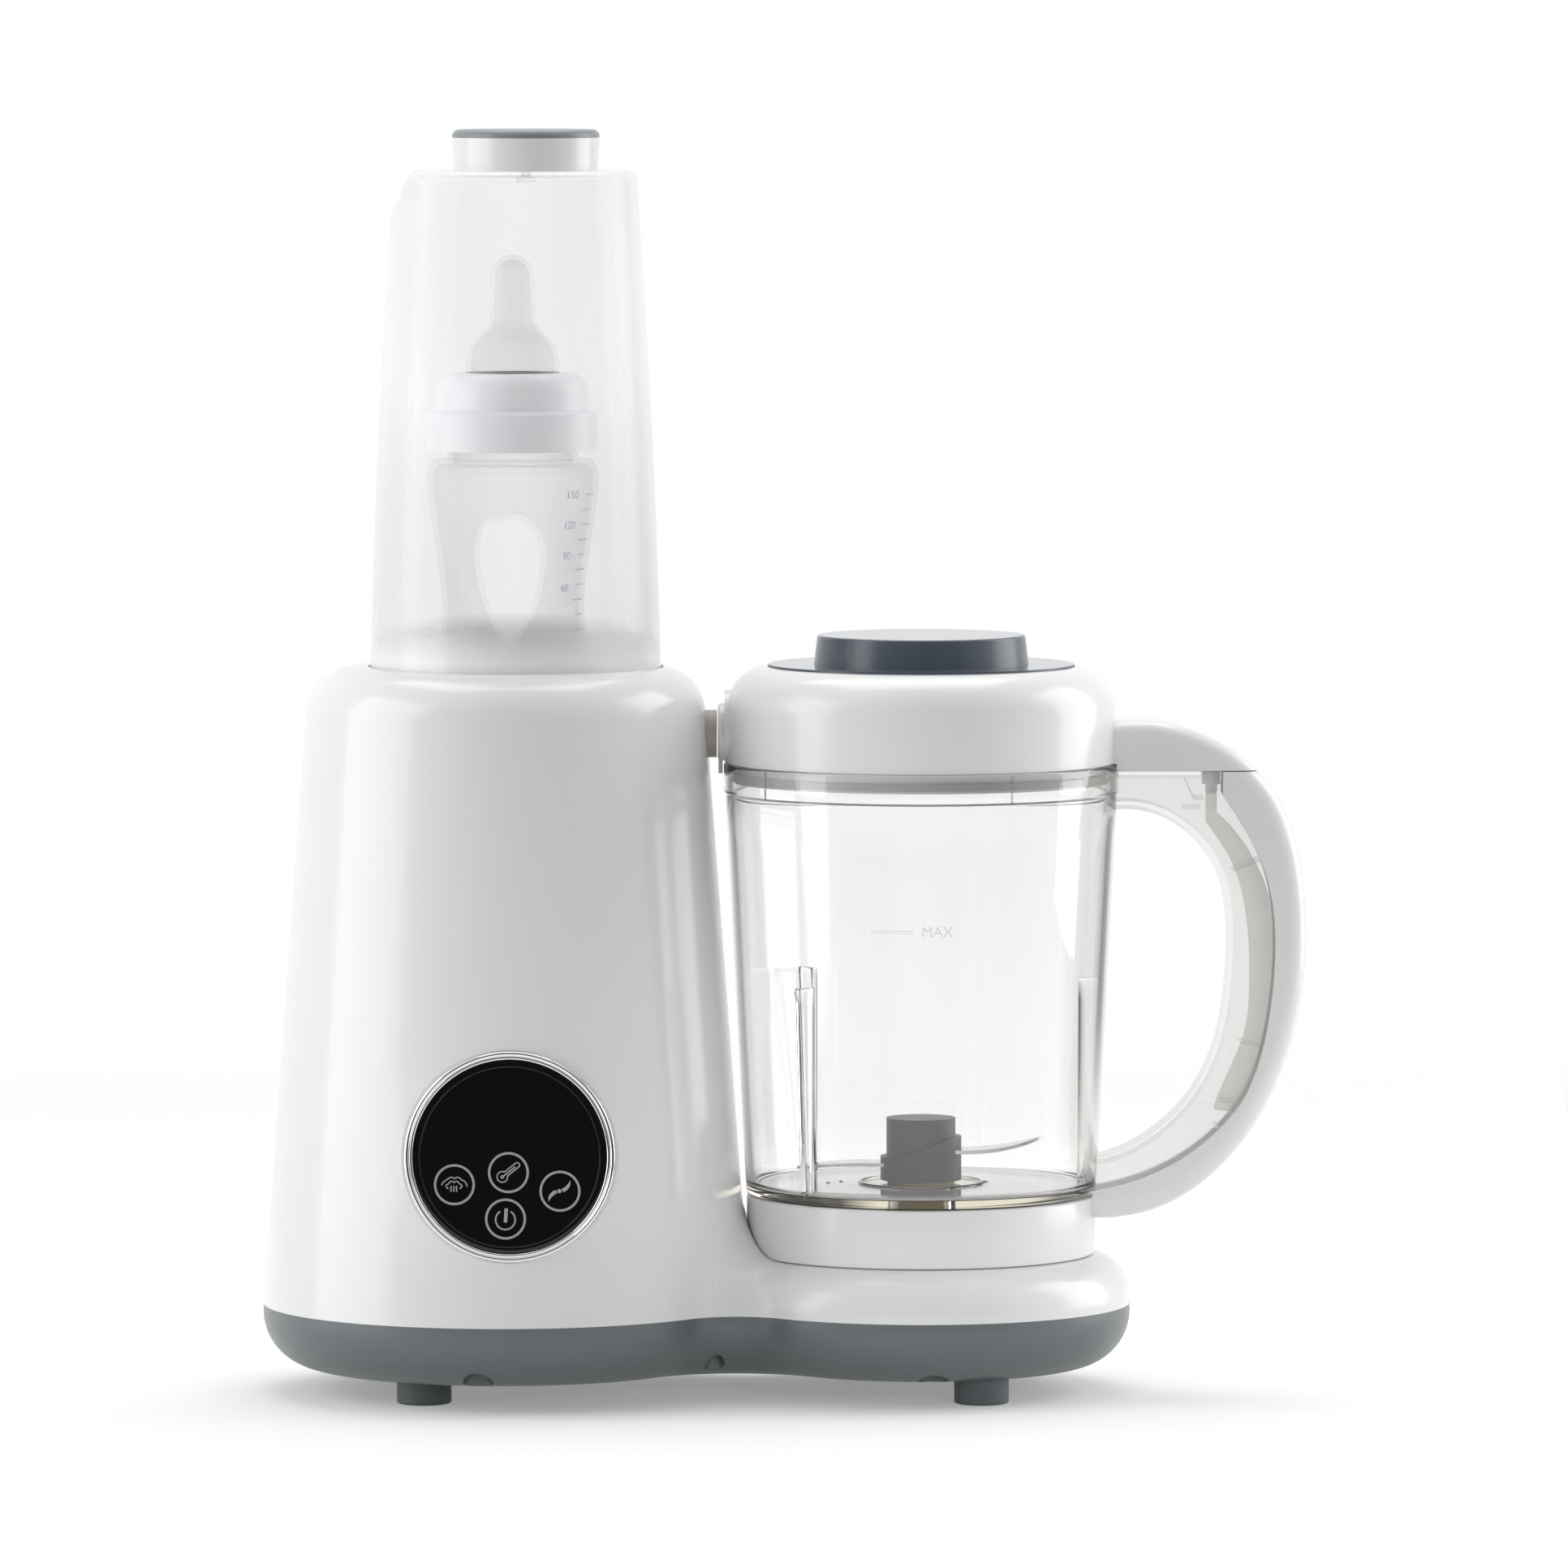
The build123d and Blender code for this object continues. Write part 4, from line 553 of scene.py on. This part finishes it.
def uprightBar(section, turn, near, far, heights, shrink):
    # Bar from the radius near to the radius far (which may change with height), turned about the jug's axis
    across = section[:, 0] * 0.999 + 0.5
    radial = near + across[None, :] * (far - near)[:, None]
    side = section[:, 1][None, :] * shrink[:, None]
    turned = math.radians(turn)
    x = jugX + (radial * math.cos(turned) - side * math.sin(turned)) / 1000
    y = (radial * math.sin(turned) + side * math.cos(turned)) / 1000
    return np.stack([x, y, np.broadcast_to(heights[:, None] / 1000, x.shape)], -1)


footSetup = {               # mm
    "radius": 57.0,
    "wall": 2.6,
    "low": 45.6,
    "deck": 61.9,           # underside of the closed top
    "hole": 9.0,
    "gap": 0.22,            # under the cup
}


def makeCollar():
    # White foot of the jug: thin shell turned from an outline with rounded edges, a hair under the cup
    s = footSetup
    top, inside = jugSetup["low"] - s["gap"], s["radius"] - s["wall"]
    profile = [(inside, s["low"]), (inside, s["deck"]), (s["hole"], s["deck"]), (s["hole"], top), (40, top)]
    profile += corner(s["radius"] - 0.5, top - 0.5, 0.5, 90, 0) + [(s["radius"], 55.0)]
    profile += corner(s["radius"] - 0.6, s["low"] + 0.6, 0.6, 0, -90)
    addPiece("jugFoot", [(lathe(profile, jugX), True, False)], whitePlastic, "jug",
             ["jug_collar"], sharp=40)


floorPips = [               # x, y, radius and height in mm
    (65.4, 1.5, 1.7, 0.5), (14.4, -2.0, 0.8, 0.35), (18.6, 2.0, 0.8, 0.35),
]


def makePips():
    # Shallow domes on the cup's floor: height falls with the square of the distance from the middle
    grids = []
    for x, y, radius, height in floorPips:
        out = np.linspace(1, 0.02, 6)
        angle = np.linspace(0, 2 * np.pi, 20, endpoint=False)
        flat = radius * out[:, None, None] * np.stack([np.cos(angle), np.sin(angle)], -1)
        up = np.broadcast_to((jugSetup["floor"] + 0.02 + height * (1 - out**2))[:, None], flat.shape[:2])
        grids.append((np.stack([x + flat[..., 0], y + flat[..., 1], up], -1) / 1000, False, True))
    addPiece("floorPips", grids, hubPlastic, "jug", sharp=60)


handleRibs = {              # mm
    "half": 0.28,           # half of a rib's thickness
    "sides": ((-8.1, -4.6), (4.6, 8.1)),        # reach across the handle, once on either side of the rod
    "ends": [               # (x, z) of both ends of each rib
        ((146.2, 170.9), (154.9, 174.3)), ((148.6, 114.9), (155.8, 113.3)), ((141.7, 95.6), (149.2, 94.9)),
        ((140.4, 87.2), (144.4, 86.4)), ((130.0, 191.6), (136.0, 191.4)), ((130.6, 201.0), (133.6, 194.6)),
        ((133.6, 194.6), (137.0, 194.4)),
    ],
}


def makeHandleRibs():
    # Each rib is a thin straight bar between its two ends, inside the handle's clear half
    grids = []
    for first, last in handleRibs["ends"]:
        first, last = np.array(first), np.array(last)
        ahead = (last - first) / np.linalg.norm(last - first)
        side = np.array([-ahead[1], ahead[0]]) * handleRibs["half"]
        loop = np.array([side, side, -side, -side])
        for near, far in handleRibs["sides"]:
            y = np.array([near, far, far, near])
            rows = [np.stack([end[0] + loop[:, 0], y, end[1] + loop[:, 1]], -1) for end in (first, last)]
            grids.append((np.array(rows) / 1000, False, True))
    addPiece("handleRibs", grids, handlePlastic, "jug", sharp=20)


def onCup(flat, turn, height, lift):
    # Flat points (across, up) in mm wrapped round the cup's outside at the given turn and height
    up = height + flat[..., 1]
    radius = cupRadius(up) + lift
    angle = math.radians(turn) + flat[..., 0] / radius
    return np.stack([jugX + radius * np.cos(angle) / 1000, radius * np.sin(angle) / 1000, up / 1000], -1)


def lettering(name, words, size, depth):
    # Text made a mesh, its points given back as (across, up, out) with its faces
    curve = bpy.data.curves.new(name, "FONT")
    curve.body, curve.size, curve.extrude = words, size, depth
    curve.align_x = "CENTER"
    holder = bpy.data.objects.new(name, curve)
    bpy.context.scene.collection.objects.link(holder)
    mesh = bpy.data.meshes.new_from_object(holder.evaluated_get(bpy.context.evaluated_depsgraph_get()))
    bpy.data.objects.remove(holder)
    points = np.empty(len(mesh.vertices) * 3)
    mesh.vertices.foreach_get("co", points)
    faces = [tuple(face.vertices) for face in mesh.polygons]
    bpy.data.meshes.remove(mesh)
    return points.reshape(-1, 3), faces


def meshPiece(name, points, faces, material, body):
    # Piece from ready points and faces
    mesh = bpy.data.meshes.new(name)
    mesh.from_pydata(points.tolist(), [], faces)
    mesh.materials.append(material)
    piece = bpy.data.objects.new(name, mesh)
    bpy.context.scene.collection.objects.link(piece)
    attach(piece, body)
    return piece


markSetup = {               # mm, turns in degrees
    "word": "MAX",
    "wordSize": 4.8,
    "wordHalf": 0.06,       # half of the letters' height over the cup
    "wordTurn": -85.8,
    "wordHeight": 153.7,
    "lineHalf": (6.8, 0.5),
    "lineTurn": -99.4,
    "lineHeight": 155.2,
    "lineRise": 0.12,
}


def makeMaxMark():
    # The word and the outline of its line, wrapped round the front of the cup and raised from it
    s = markSetup
    points, faces = lettering("maxWord", s["word"], s["wordSize"], s["wordHalf"])
    flat = np.stack([points[:, 0], points[:, 1]], -1)
    word = onCup(flat, s["wordTurn"], s["wordHeight"], 0.05 + points[:, 2])
    meshPiece("maxWord", word, faces, markGrey, "jug")
    bar = np.array([(-1, 1), (1, 1), (1, -1), (-1, -1)], float) * s["lineHalf"]
    path = np.vstack([np.linspace(bar[k], bar[(k + 1) % 4], 12, endpoint=False) for k in range(4)])
    inside = path * np.array([0.975, 0.5])
    loops = np.stack([path, path, inside, inside], 1)
    lift = np.broadcast_to(np.array([0.02, s["lineRise"], s["lineRise"], 0.02]), loops.shape[:2])
    addPiece("maxLine", [(onCup(loops, s["lineTurn"], s["lineHeight"], lift), True, False)], markGrey, "jug",
             sharp=30)


scaleSetup = {              # mm, turns in degrees
    "wallHeights": [200.5, 218, 240, 257.5, 276, 294, 301],
    "wallRadii": [28.0, 27.8, 25.2, 23.3, 24.9, 27.7, 28.0],
    "ticks": (250, 294, 10),        # lowest and highest tick, and how many
    "tickHalf": 0.22,
    "tickStarts": (-33, -30),       # of every other tick
    "tickEnd": -18,
    "numbers": (("150", 293), ("120", 283), ("90", 273), ("60", 262.5)),
    "numberSize": 3.6,
    "numberTurn": -44,
}


def onBottle(angle, up, lift):
    # Points on the bottle's wall, raised from it by lift; its radius runs straight between the listed heights
    radius = np.interp(up, scaleSetup["wallHeights"], scaleSetup["wallRadii"]) + lift
    x = bottleX + radius * np.cos(angle) / 1000
    return np.stack([x, radius * np.sin(angle) / 1000, np.broadcast_to(up / 1000, x.shape)], -1)


def makeBottleMarks():
    # Ticks are short bands round the bottle's wall, longer at every second one, with figures beside them
    s = scaleSetup
    grids = []
    for index, height in enumerate(np.linspace(*s["ticks"])):
        span = np.radians(np.linspace(s["tickStarts"][index % 2], s["tickEnd"], 7))
        up = height + s["tickHalf"] * np.array([-1, -1, 1, 1])
        grids.append((onBottle(span[:, None], up, np.array([0.03, 0.1, 0.1, 0.03])), False, True))
    addPiece("bottleTicks", grids, tickBlue, "bottle", sharp=30)
    for words, height in s["numbers"]:
        points, faces = lettering("bottleNumber", words, s["numberSize"], 0.04)
        angle = math.radians(s["numberTurn"]) + points[:, 0] / 25
        place = onBottle(angle, height + points[:, 1], 0.06 + points[:, 2])
        meshPiece("bottleNumber" + words, place, faces, tickBlue, "bottle")


windowSetup = {             # mm
    "radius": 31.08,
    "top": 1.44,            # front face over the panel's plane
    "beadRadius": 29.0,     # fine raised line round the touch field
    "beadHalf": 0.26,
    "beadRise": 0.16,
}


def makeWindow():
    # Black window turned from an outline: flat field, half-round bead and a flat border inside the ring
    s = windowSetup
    bead, edge, top = s["beadRadius"], s["radius"], s["top"]
    bend = np.radians(np.linspace(180, 0, 13))
    profile = [(0.4, top), (10, top), (20, top), (bead - 0.34, top)]
    profile += list(zip(bead + s["beadHalf"] * np.cos(bend), top + s["beadRise"] * np.sin(bend)))
    profile += [(bead + 0.5, top), (edge - 0.48, top), (edge - 0.13, top - 0.1), (edge, top - 0.4), (edge, 0.0),
                (0.4, 0.0)]
    addPiece("panelWindow", [(panelLathe(profile), False, True)], panelGloss, "base",
             ["panel_glass"], sharp=30)


ringProfile = [             # radius and height in mm: two rounded beads with a groove between, inner lip first
    (31.2, 0.0), (31.2, 1.7), (31.32, 1.98), (31.6, 2.14), (31.95, 2.12), (32.2, 1.96), (32.32, 1.86),
    (32.45, 1.94), (32.75, 2.2), (33.1, 2.3), (33.5, 2.16), (33.8, 1.82), (34.0, 1.3), (34.08, 0.7),
    (34.08, 0.0),
]


def makePanelRing():
    # The ring's outline turned about the panel's axis
    addPiece("panelRing", [(panelLathe(ringProfile, 192), True, False)], chrome, "base",
             ["panel_bezel"], sharp=50)


iconSetup = {
    "unit": 0.03975,        # mm for one unit of the outlines below
    "ink": (1.40, 1.475),   # lower and upper face of the print over the panel's plane, mm
    "ringRadius": 156,
    "ringHalf": 9.5,
    "stroke": 5.0,
    "steam": (-17.76, -8.88),
    "warm": (-0.42, -4.99),
    "blade": (16.13, -10.96),
    "power": (-1.35, -19.89),
}


def makeIcon(name, strokes):
    # Strokes are (path in units from the icon's middle, half width, closed); each icon has a round frame
    middle, unit = np.array(iconSetup[name]), iconSetup["unit"]
    low, high = iconSetup["ink"]
    strokes = [(arc((0, 0), iconSetup["ringRadius"], 0, 354.4, 64), iconSetup["ringHalf"], True)] + strokes
    grids = [ribbon(middle + unit * path, unit * np.asarray(half, float), low, high, closed)
             for path, half, closed in strokes]
    addPiece("icon" + name.capitalize(), grids, printGrey, "base", sharp=30)


def makeIcons():
    # Steam is two smooth clouds over three plumes, warm a thermometer, blade two wings, power a broken ring
    thin = iconSetup["stroke"]
    outerCloud = [(-104, -4), (-90, 20), (-64, 37), (-46, 52), (-28, 59), (-12, 57), (0, 48), (12, 57),
                  (28, 59), (45, 52), (60, 38), (82, 27), (97, 4), (103, -16)]
    innerCloud = [(-49, -33), (-64, -20), (-64, -2), (-46, 9), (-34, 24), (-17, 27), (-3, 18), (11, 27),
                  (28, 24), (38, 9), (55, 1), (59, -15), (44, -33)]
    plumes = [(np.array([(x, -9), (x - 1, -33), (x, -57)], float), thin, False) for x in (-27, -4, 18)]
    makeIcon("steam", [(curveThrough(outerCloud, 80), thin, False), (curveThrough(innerCloud, 80), thin, False)]
             + plumes)
    bulb, tip, lean = np.array([-49.0, -35.0]), np.array([70.0, 60.0]), 38.6
    outline = np.vstack([arc(bulb, 43, lean + 28, lean + 332, 56), arc(tip, 20, lean - 90, lean + 90, 24)])
    stem = np.linspace(bulb, (57, 47), 8)
    makeIcon("warm", [(outline, thin, True), (stem, 6.0, False), (arc(bulb, 7.5, 0, 345, 24), 7.4, True)])
    wing = curveThrough([(18, 5), (40, 16), (62, 36), (76, 60), (82, 84)], 28)
    width = np.interp(np.linspace(0, 1, 28), [0, 0.3, 0.6, 0.85, 1], [14, 15.5, 12, 6, 0.8])
    pivot = np.array([-5.0, 1.0])
    makeIcon("blade", [(wing, width, False), (2 * pivot - wing, width, False),
                       (arc(pivot, 8.5, 0, 345, 24), 8.4, True)])
    makeIcon("power", [(arc((-1, -6), 79, 122, 418, 72), 6.5, False),
                       (np.linspace((6, 86), (-1, -28), 6), 14.0, False)])


makeWindow()
makePanelRing()
makeIcons()
print("panel window, ring and icons made")
makeJug()
makeCollar()
makePips()
makeHandleRibs()
makeMaxMark()
makeBottleMarks()
print("jug, handle ribs and marks made")


# Floor, backdrop, lamps and camera

stageSetup = {
    "floorHalf": 1.6,       # metres from the middle to the floor's edge
    "floorColor": 0.78,
    "floorGlow": 0.26,      # how much of the pale ground shows inside the shadow
    "ambient": 0.45,        # level of the world's light on the object
    "fade": (0.45, 1.3),    # metres from the middle over which the floor melts into the backdrop
}


def cameraSees(tree):
    # 1 for rays that show the pale surroundings: straight, mirrored or through clear plastic
    path = addNode(tree, "ShaderNodeLightPath")
    seen = math2(tree, "MAXIMUM", path.outputs["Is Camera Ray"], path.outputs["Is Glossy Ray"])
    return math2(tree, "MAXIMUM", seen, path.outputs["Is Transmission Ray"])


def makeFloor():
    # Flat square that takes the shadow, lit a little from itself, and see-through towards its edge
    half = stageSetup["floorHalf"]
    mesh = bpy.data.meshes.new("floor")
    corners = [(-half, -half, 0), (half, -half, 0), (half, half, 0), (-half, half, 0)]
    mesh.from_pydata(corners, [], [(0, 1, 2, 3)])
    floor = bpy.data.objects.new("floor", mesh)
    bpy.context.scene.collection.objects.link(floor)
    material, tree, shader = newMaterial("paleFloor")
    tree.nodes.remove(shader)
    out = tree.nodes["Material Output"]
    matt = addNode(tree, "ShaderNodeBsdfDiffuse", {"Color": shade([stageSetup["floorColor"]] * 3)})
    glow = addNode(tree, "ShaderNodeEmission")
    both = addNode(tree, "ShaderNodeAddShader")
    clear = addNode(tree, "ShaderNodeBsdfTransparent")
    fade = addNode(tree, "ShaderNodeMixShader")
    place = addNode(tree, "ShaderNodeTexCoord")
    reach = addNode(tree, "ShaderNodeVectorMath", operation="LENGTH")
    near, far = stageSetup["fade"]
    edge = addNode(tree, "ShaderNodeMapRange", {"From Min": near, "From Max": far},
                   interpolation_type="SMOOTHSTEP")
    link = tree.links.new
    link(math2(tree, "MULTIPLY", cameraSees(tree), stageSetup["floorGlow"]), glow.inputs["Strength"])
    link(matt.outputs[0], both.inputs[0])
    link(glow.outputs[0], both.inputs[1])
    link(place.outputs["Object"], reach.inputs[0])
    link(reach.outputs["Value"], edge.inputs["Value"])
    link(edge.outputs["Result"], fade.inputs[0])
    link(both.outputs[0], fade.inputs[1])
    link(clear.outputs[0], fade.inputs[2])
    link(fade.outputs[0], out.inputs["Surface"])
    mesh.materials.append(material)


def brightness(tree, value, stops):
    # Grey ramp over a direction's share of one axis, -1 to 1
    ramp = tree.nodes.new("ShaderNodeValToRGB")
    points = ramp.color_ramp.elements
    while len(points) < len(stops):
        points.new(0.5)
    for point, (place, level) in zip(points, stops):
        point.position = (place + 1) / 2
        point.color = shade([level] * 3)
    tree.links.new(math2(tree, "MULTIPLY_ADD", value, 0.5, 0.5), ramp.inputs["Fac"])
    return ramp.outputs["Color"]


room = {                    # light of the surroundings: (a direction's share of +Y or +X, level)
    "through": [(-1.0, 0.30), (-0.55, 0.40), (-0.2, 1.0), (0.25, 1.0), (0.42, 0.22), (0.70, 0.18), (0.88, 1.0)],
    "throughRight": [(-1.0, 1.0), (0.18, 1.0), (0.34, 0.12), (1.0, 0.05)],
    "mirrored": [(-1.0, 0.05), (-0.80, 0.10), (-0.5, 0.55), (-0.1, 0.9), (0.6, 0.9), (1.0, 1.0)],
}


def makeWorld():
    # White to the camera; darker in some directions for rays bent or mirrored by the pieces, as in a lit tent
    world = bpy.data.worlds.new("studio")
    bpy.context.scene.world = world
    world.use_nodes = True
    tree = world.node_tree
    background = tree.nodes["Background"]
    background.inputs["Color"].default_value = (1, 1, 1, 1)
    place = addNode(tree, "ShaderNodeTexCoord")
    split = addNode(tree, "ShaderNodeSeparateXYZ")
    path = addNode(tree, "ShaderNodeLightPath")
    tree.links.new(place.outputs["Generated"], split.inputs[0])
    level = stageSetup["ambient"]
    stages = [
        (path.outputs["Is Glossy Ray"], brightness(tree, split.outputs["Y"], room["mirrored"])),
        (path.outputs["Is Transmission Ray"], math2(
            tree, "MULTIPLY", brightness(tree, split.outputs["Y"], room["through"]),
            brightness(tree, split.outputs["X"], room["throughRight"]))),
        (path.outputs["Is Camera Ray"], 1.0),
    ]
    for share, value in stages:
        mix = addNode(tree, "ShaderNodeMix", data_type="FLOAT")
        tree.links.new(share, mix.inputs[0])
        for socket, source in ((mix.inputs[2], level), (mix.inputs[3], value)):
            if isinstance(source, float):
                socket.default_value = source
            else:
                tree.links.new(source, socket)
        level = mix.outputs[0]
    tree.links.new(level, background.inputs["Strength"])


softboxes = {               # name: place, width, height, watts
    "leftSoftbox": ((-1.40, -0.30, 0.55), 1.2, 1.5, 12.0),
    "rightSoftbox": ((1.30, 0.35, 0.60), 0.9, 1.4, 11.0),
    "topSoftbox": ((-0.08, 0.48, 1.66), 1.3, 1.1, 11.0),
}
softboxAim = (0.0, 0.0, 0.18)

handleSpot = {              # narrow lamp from the front right on the jug's handle and the platform
    "place": (0.85, -1.90, 0.50),
    "aim": (0.06, 0.0, 0.055),
    "watts": 31.0,
    "cone": 14.0,           # degrees
    "fade": 1.0,            # share of the cone that fades out
    "softness": 0.15,       # metres, the lamp's radius
}


def hangLamp(name, lamp, place, target):
    # Puts the lamp in its place and turns it to the target: pitch from the drop, heading from the flat part
    holder = bpy.data.objects.new(name, lamp)
    bpy.context.scene.collection.objects.link(holder)
    holder.location = place
    x, y, z = np.array(target) - np.array(place)
    holder.rotation_euler = (math.atan2(math.hypot(x, y), -z), 0, math.atan2(-x, y))
    return holder


def makeLamps():
    # Three softboxes, and one spot that shows in no mirrored or bent light
    for name, (place, width, height, watts) in softboxes.items():
        lamp = bpy.data.lights.new(name, "AREA")
        lamp.shape = "RECTANGLE"
        lamp.size, lamp.size_y, lamp.energy = width, height, watts
        hangLamp(name, lamp, place, softboxAim)
    spot = bpy.data.lights.new("handleSpot", "SPOT")
    spot.energy, spot.spot_size = handleSpot["watts"], math.radians(handleSpot["cone"])
    spot.spot_blend, spot.shadow_soft_size = handleSpot["fade"], handleSpot["softness"]
    holder = hangLamp("handleSpot", spot, handleSpot["place"], handleSpot["aim"])
    holder.visible_glossy = holder.visible_transmission = False


cameraSetup = {
    "place": (0.0, -3.85, 0.466),
    "pitch": -3.97,         # degrees, below level where negative
    "lens": 271.3,          # mm
    "sensor": 36.0,         # mm
    "clip": (0.1, 50),
}


def makeCamera():
    # Level but for its pitch, looking along +Y
    data = bpy.data.cameras.new("camera")
    camera = bpy.data.objects.new("camera", data)
    bpy.context.scene.collection.objects.link(camera)
    data.sensor_width, data.lens = cameraSetup["sensor"], cameraSetup["lens"]
    data.clip_start, data.clip_end = cameraSetup["clip"]
    camera.location = cameraSetup["place"]
    camera.rotation_euler = (math.radians(90 + cameraSetup["pitch"]), 0, 0)
    bpy.context.scene.camera = camera


makeFloor()
makeWorld()
makeLamps()
makeCamera()
bpy.context.scene.view_settings.view_transform = "Standard"
print("stage, lamps and camera ready")
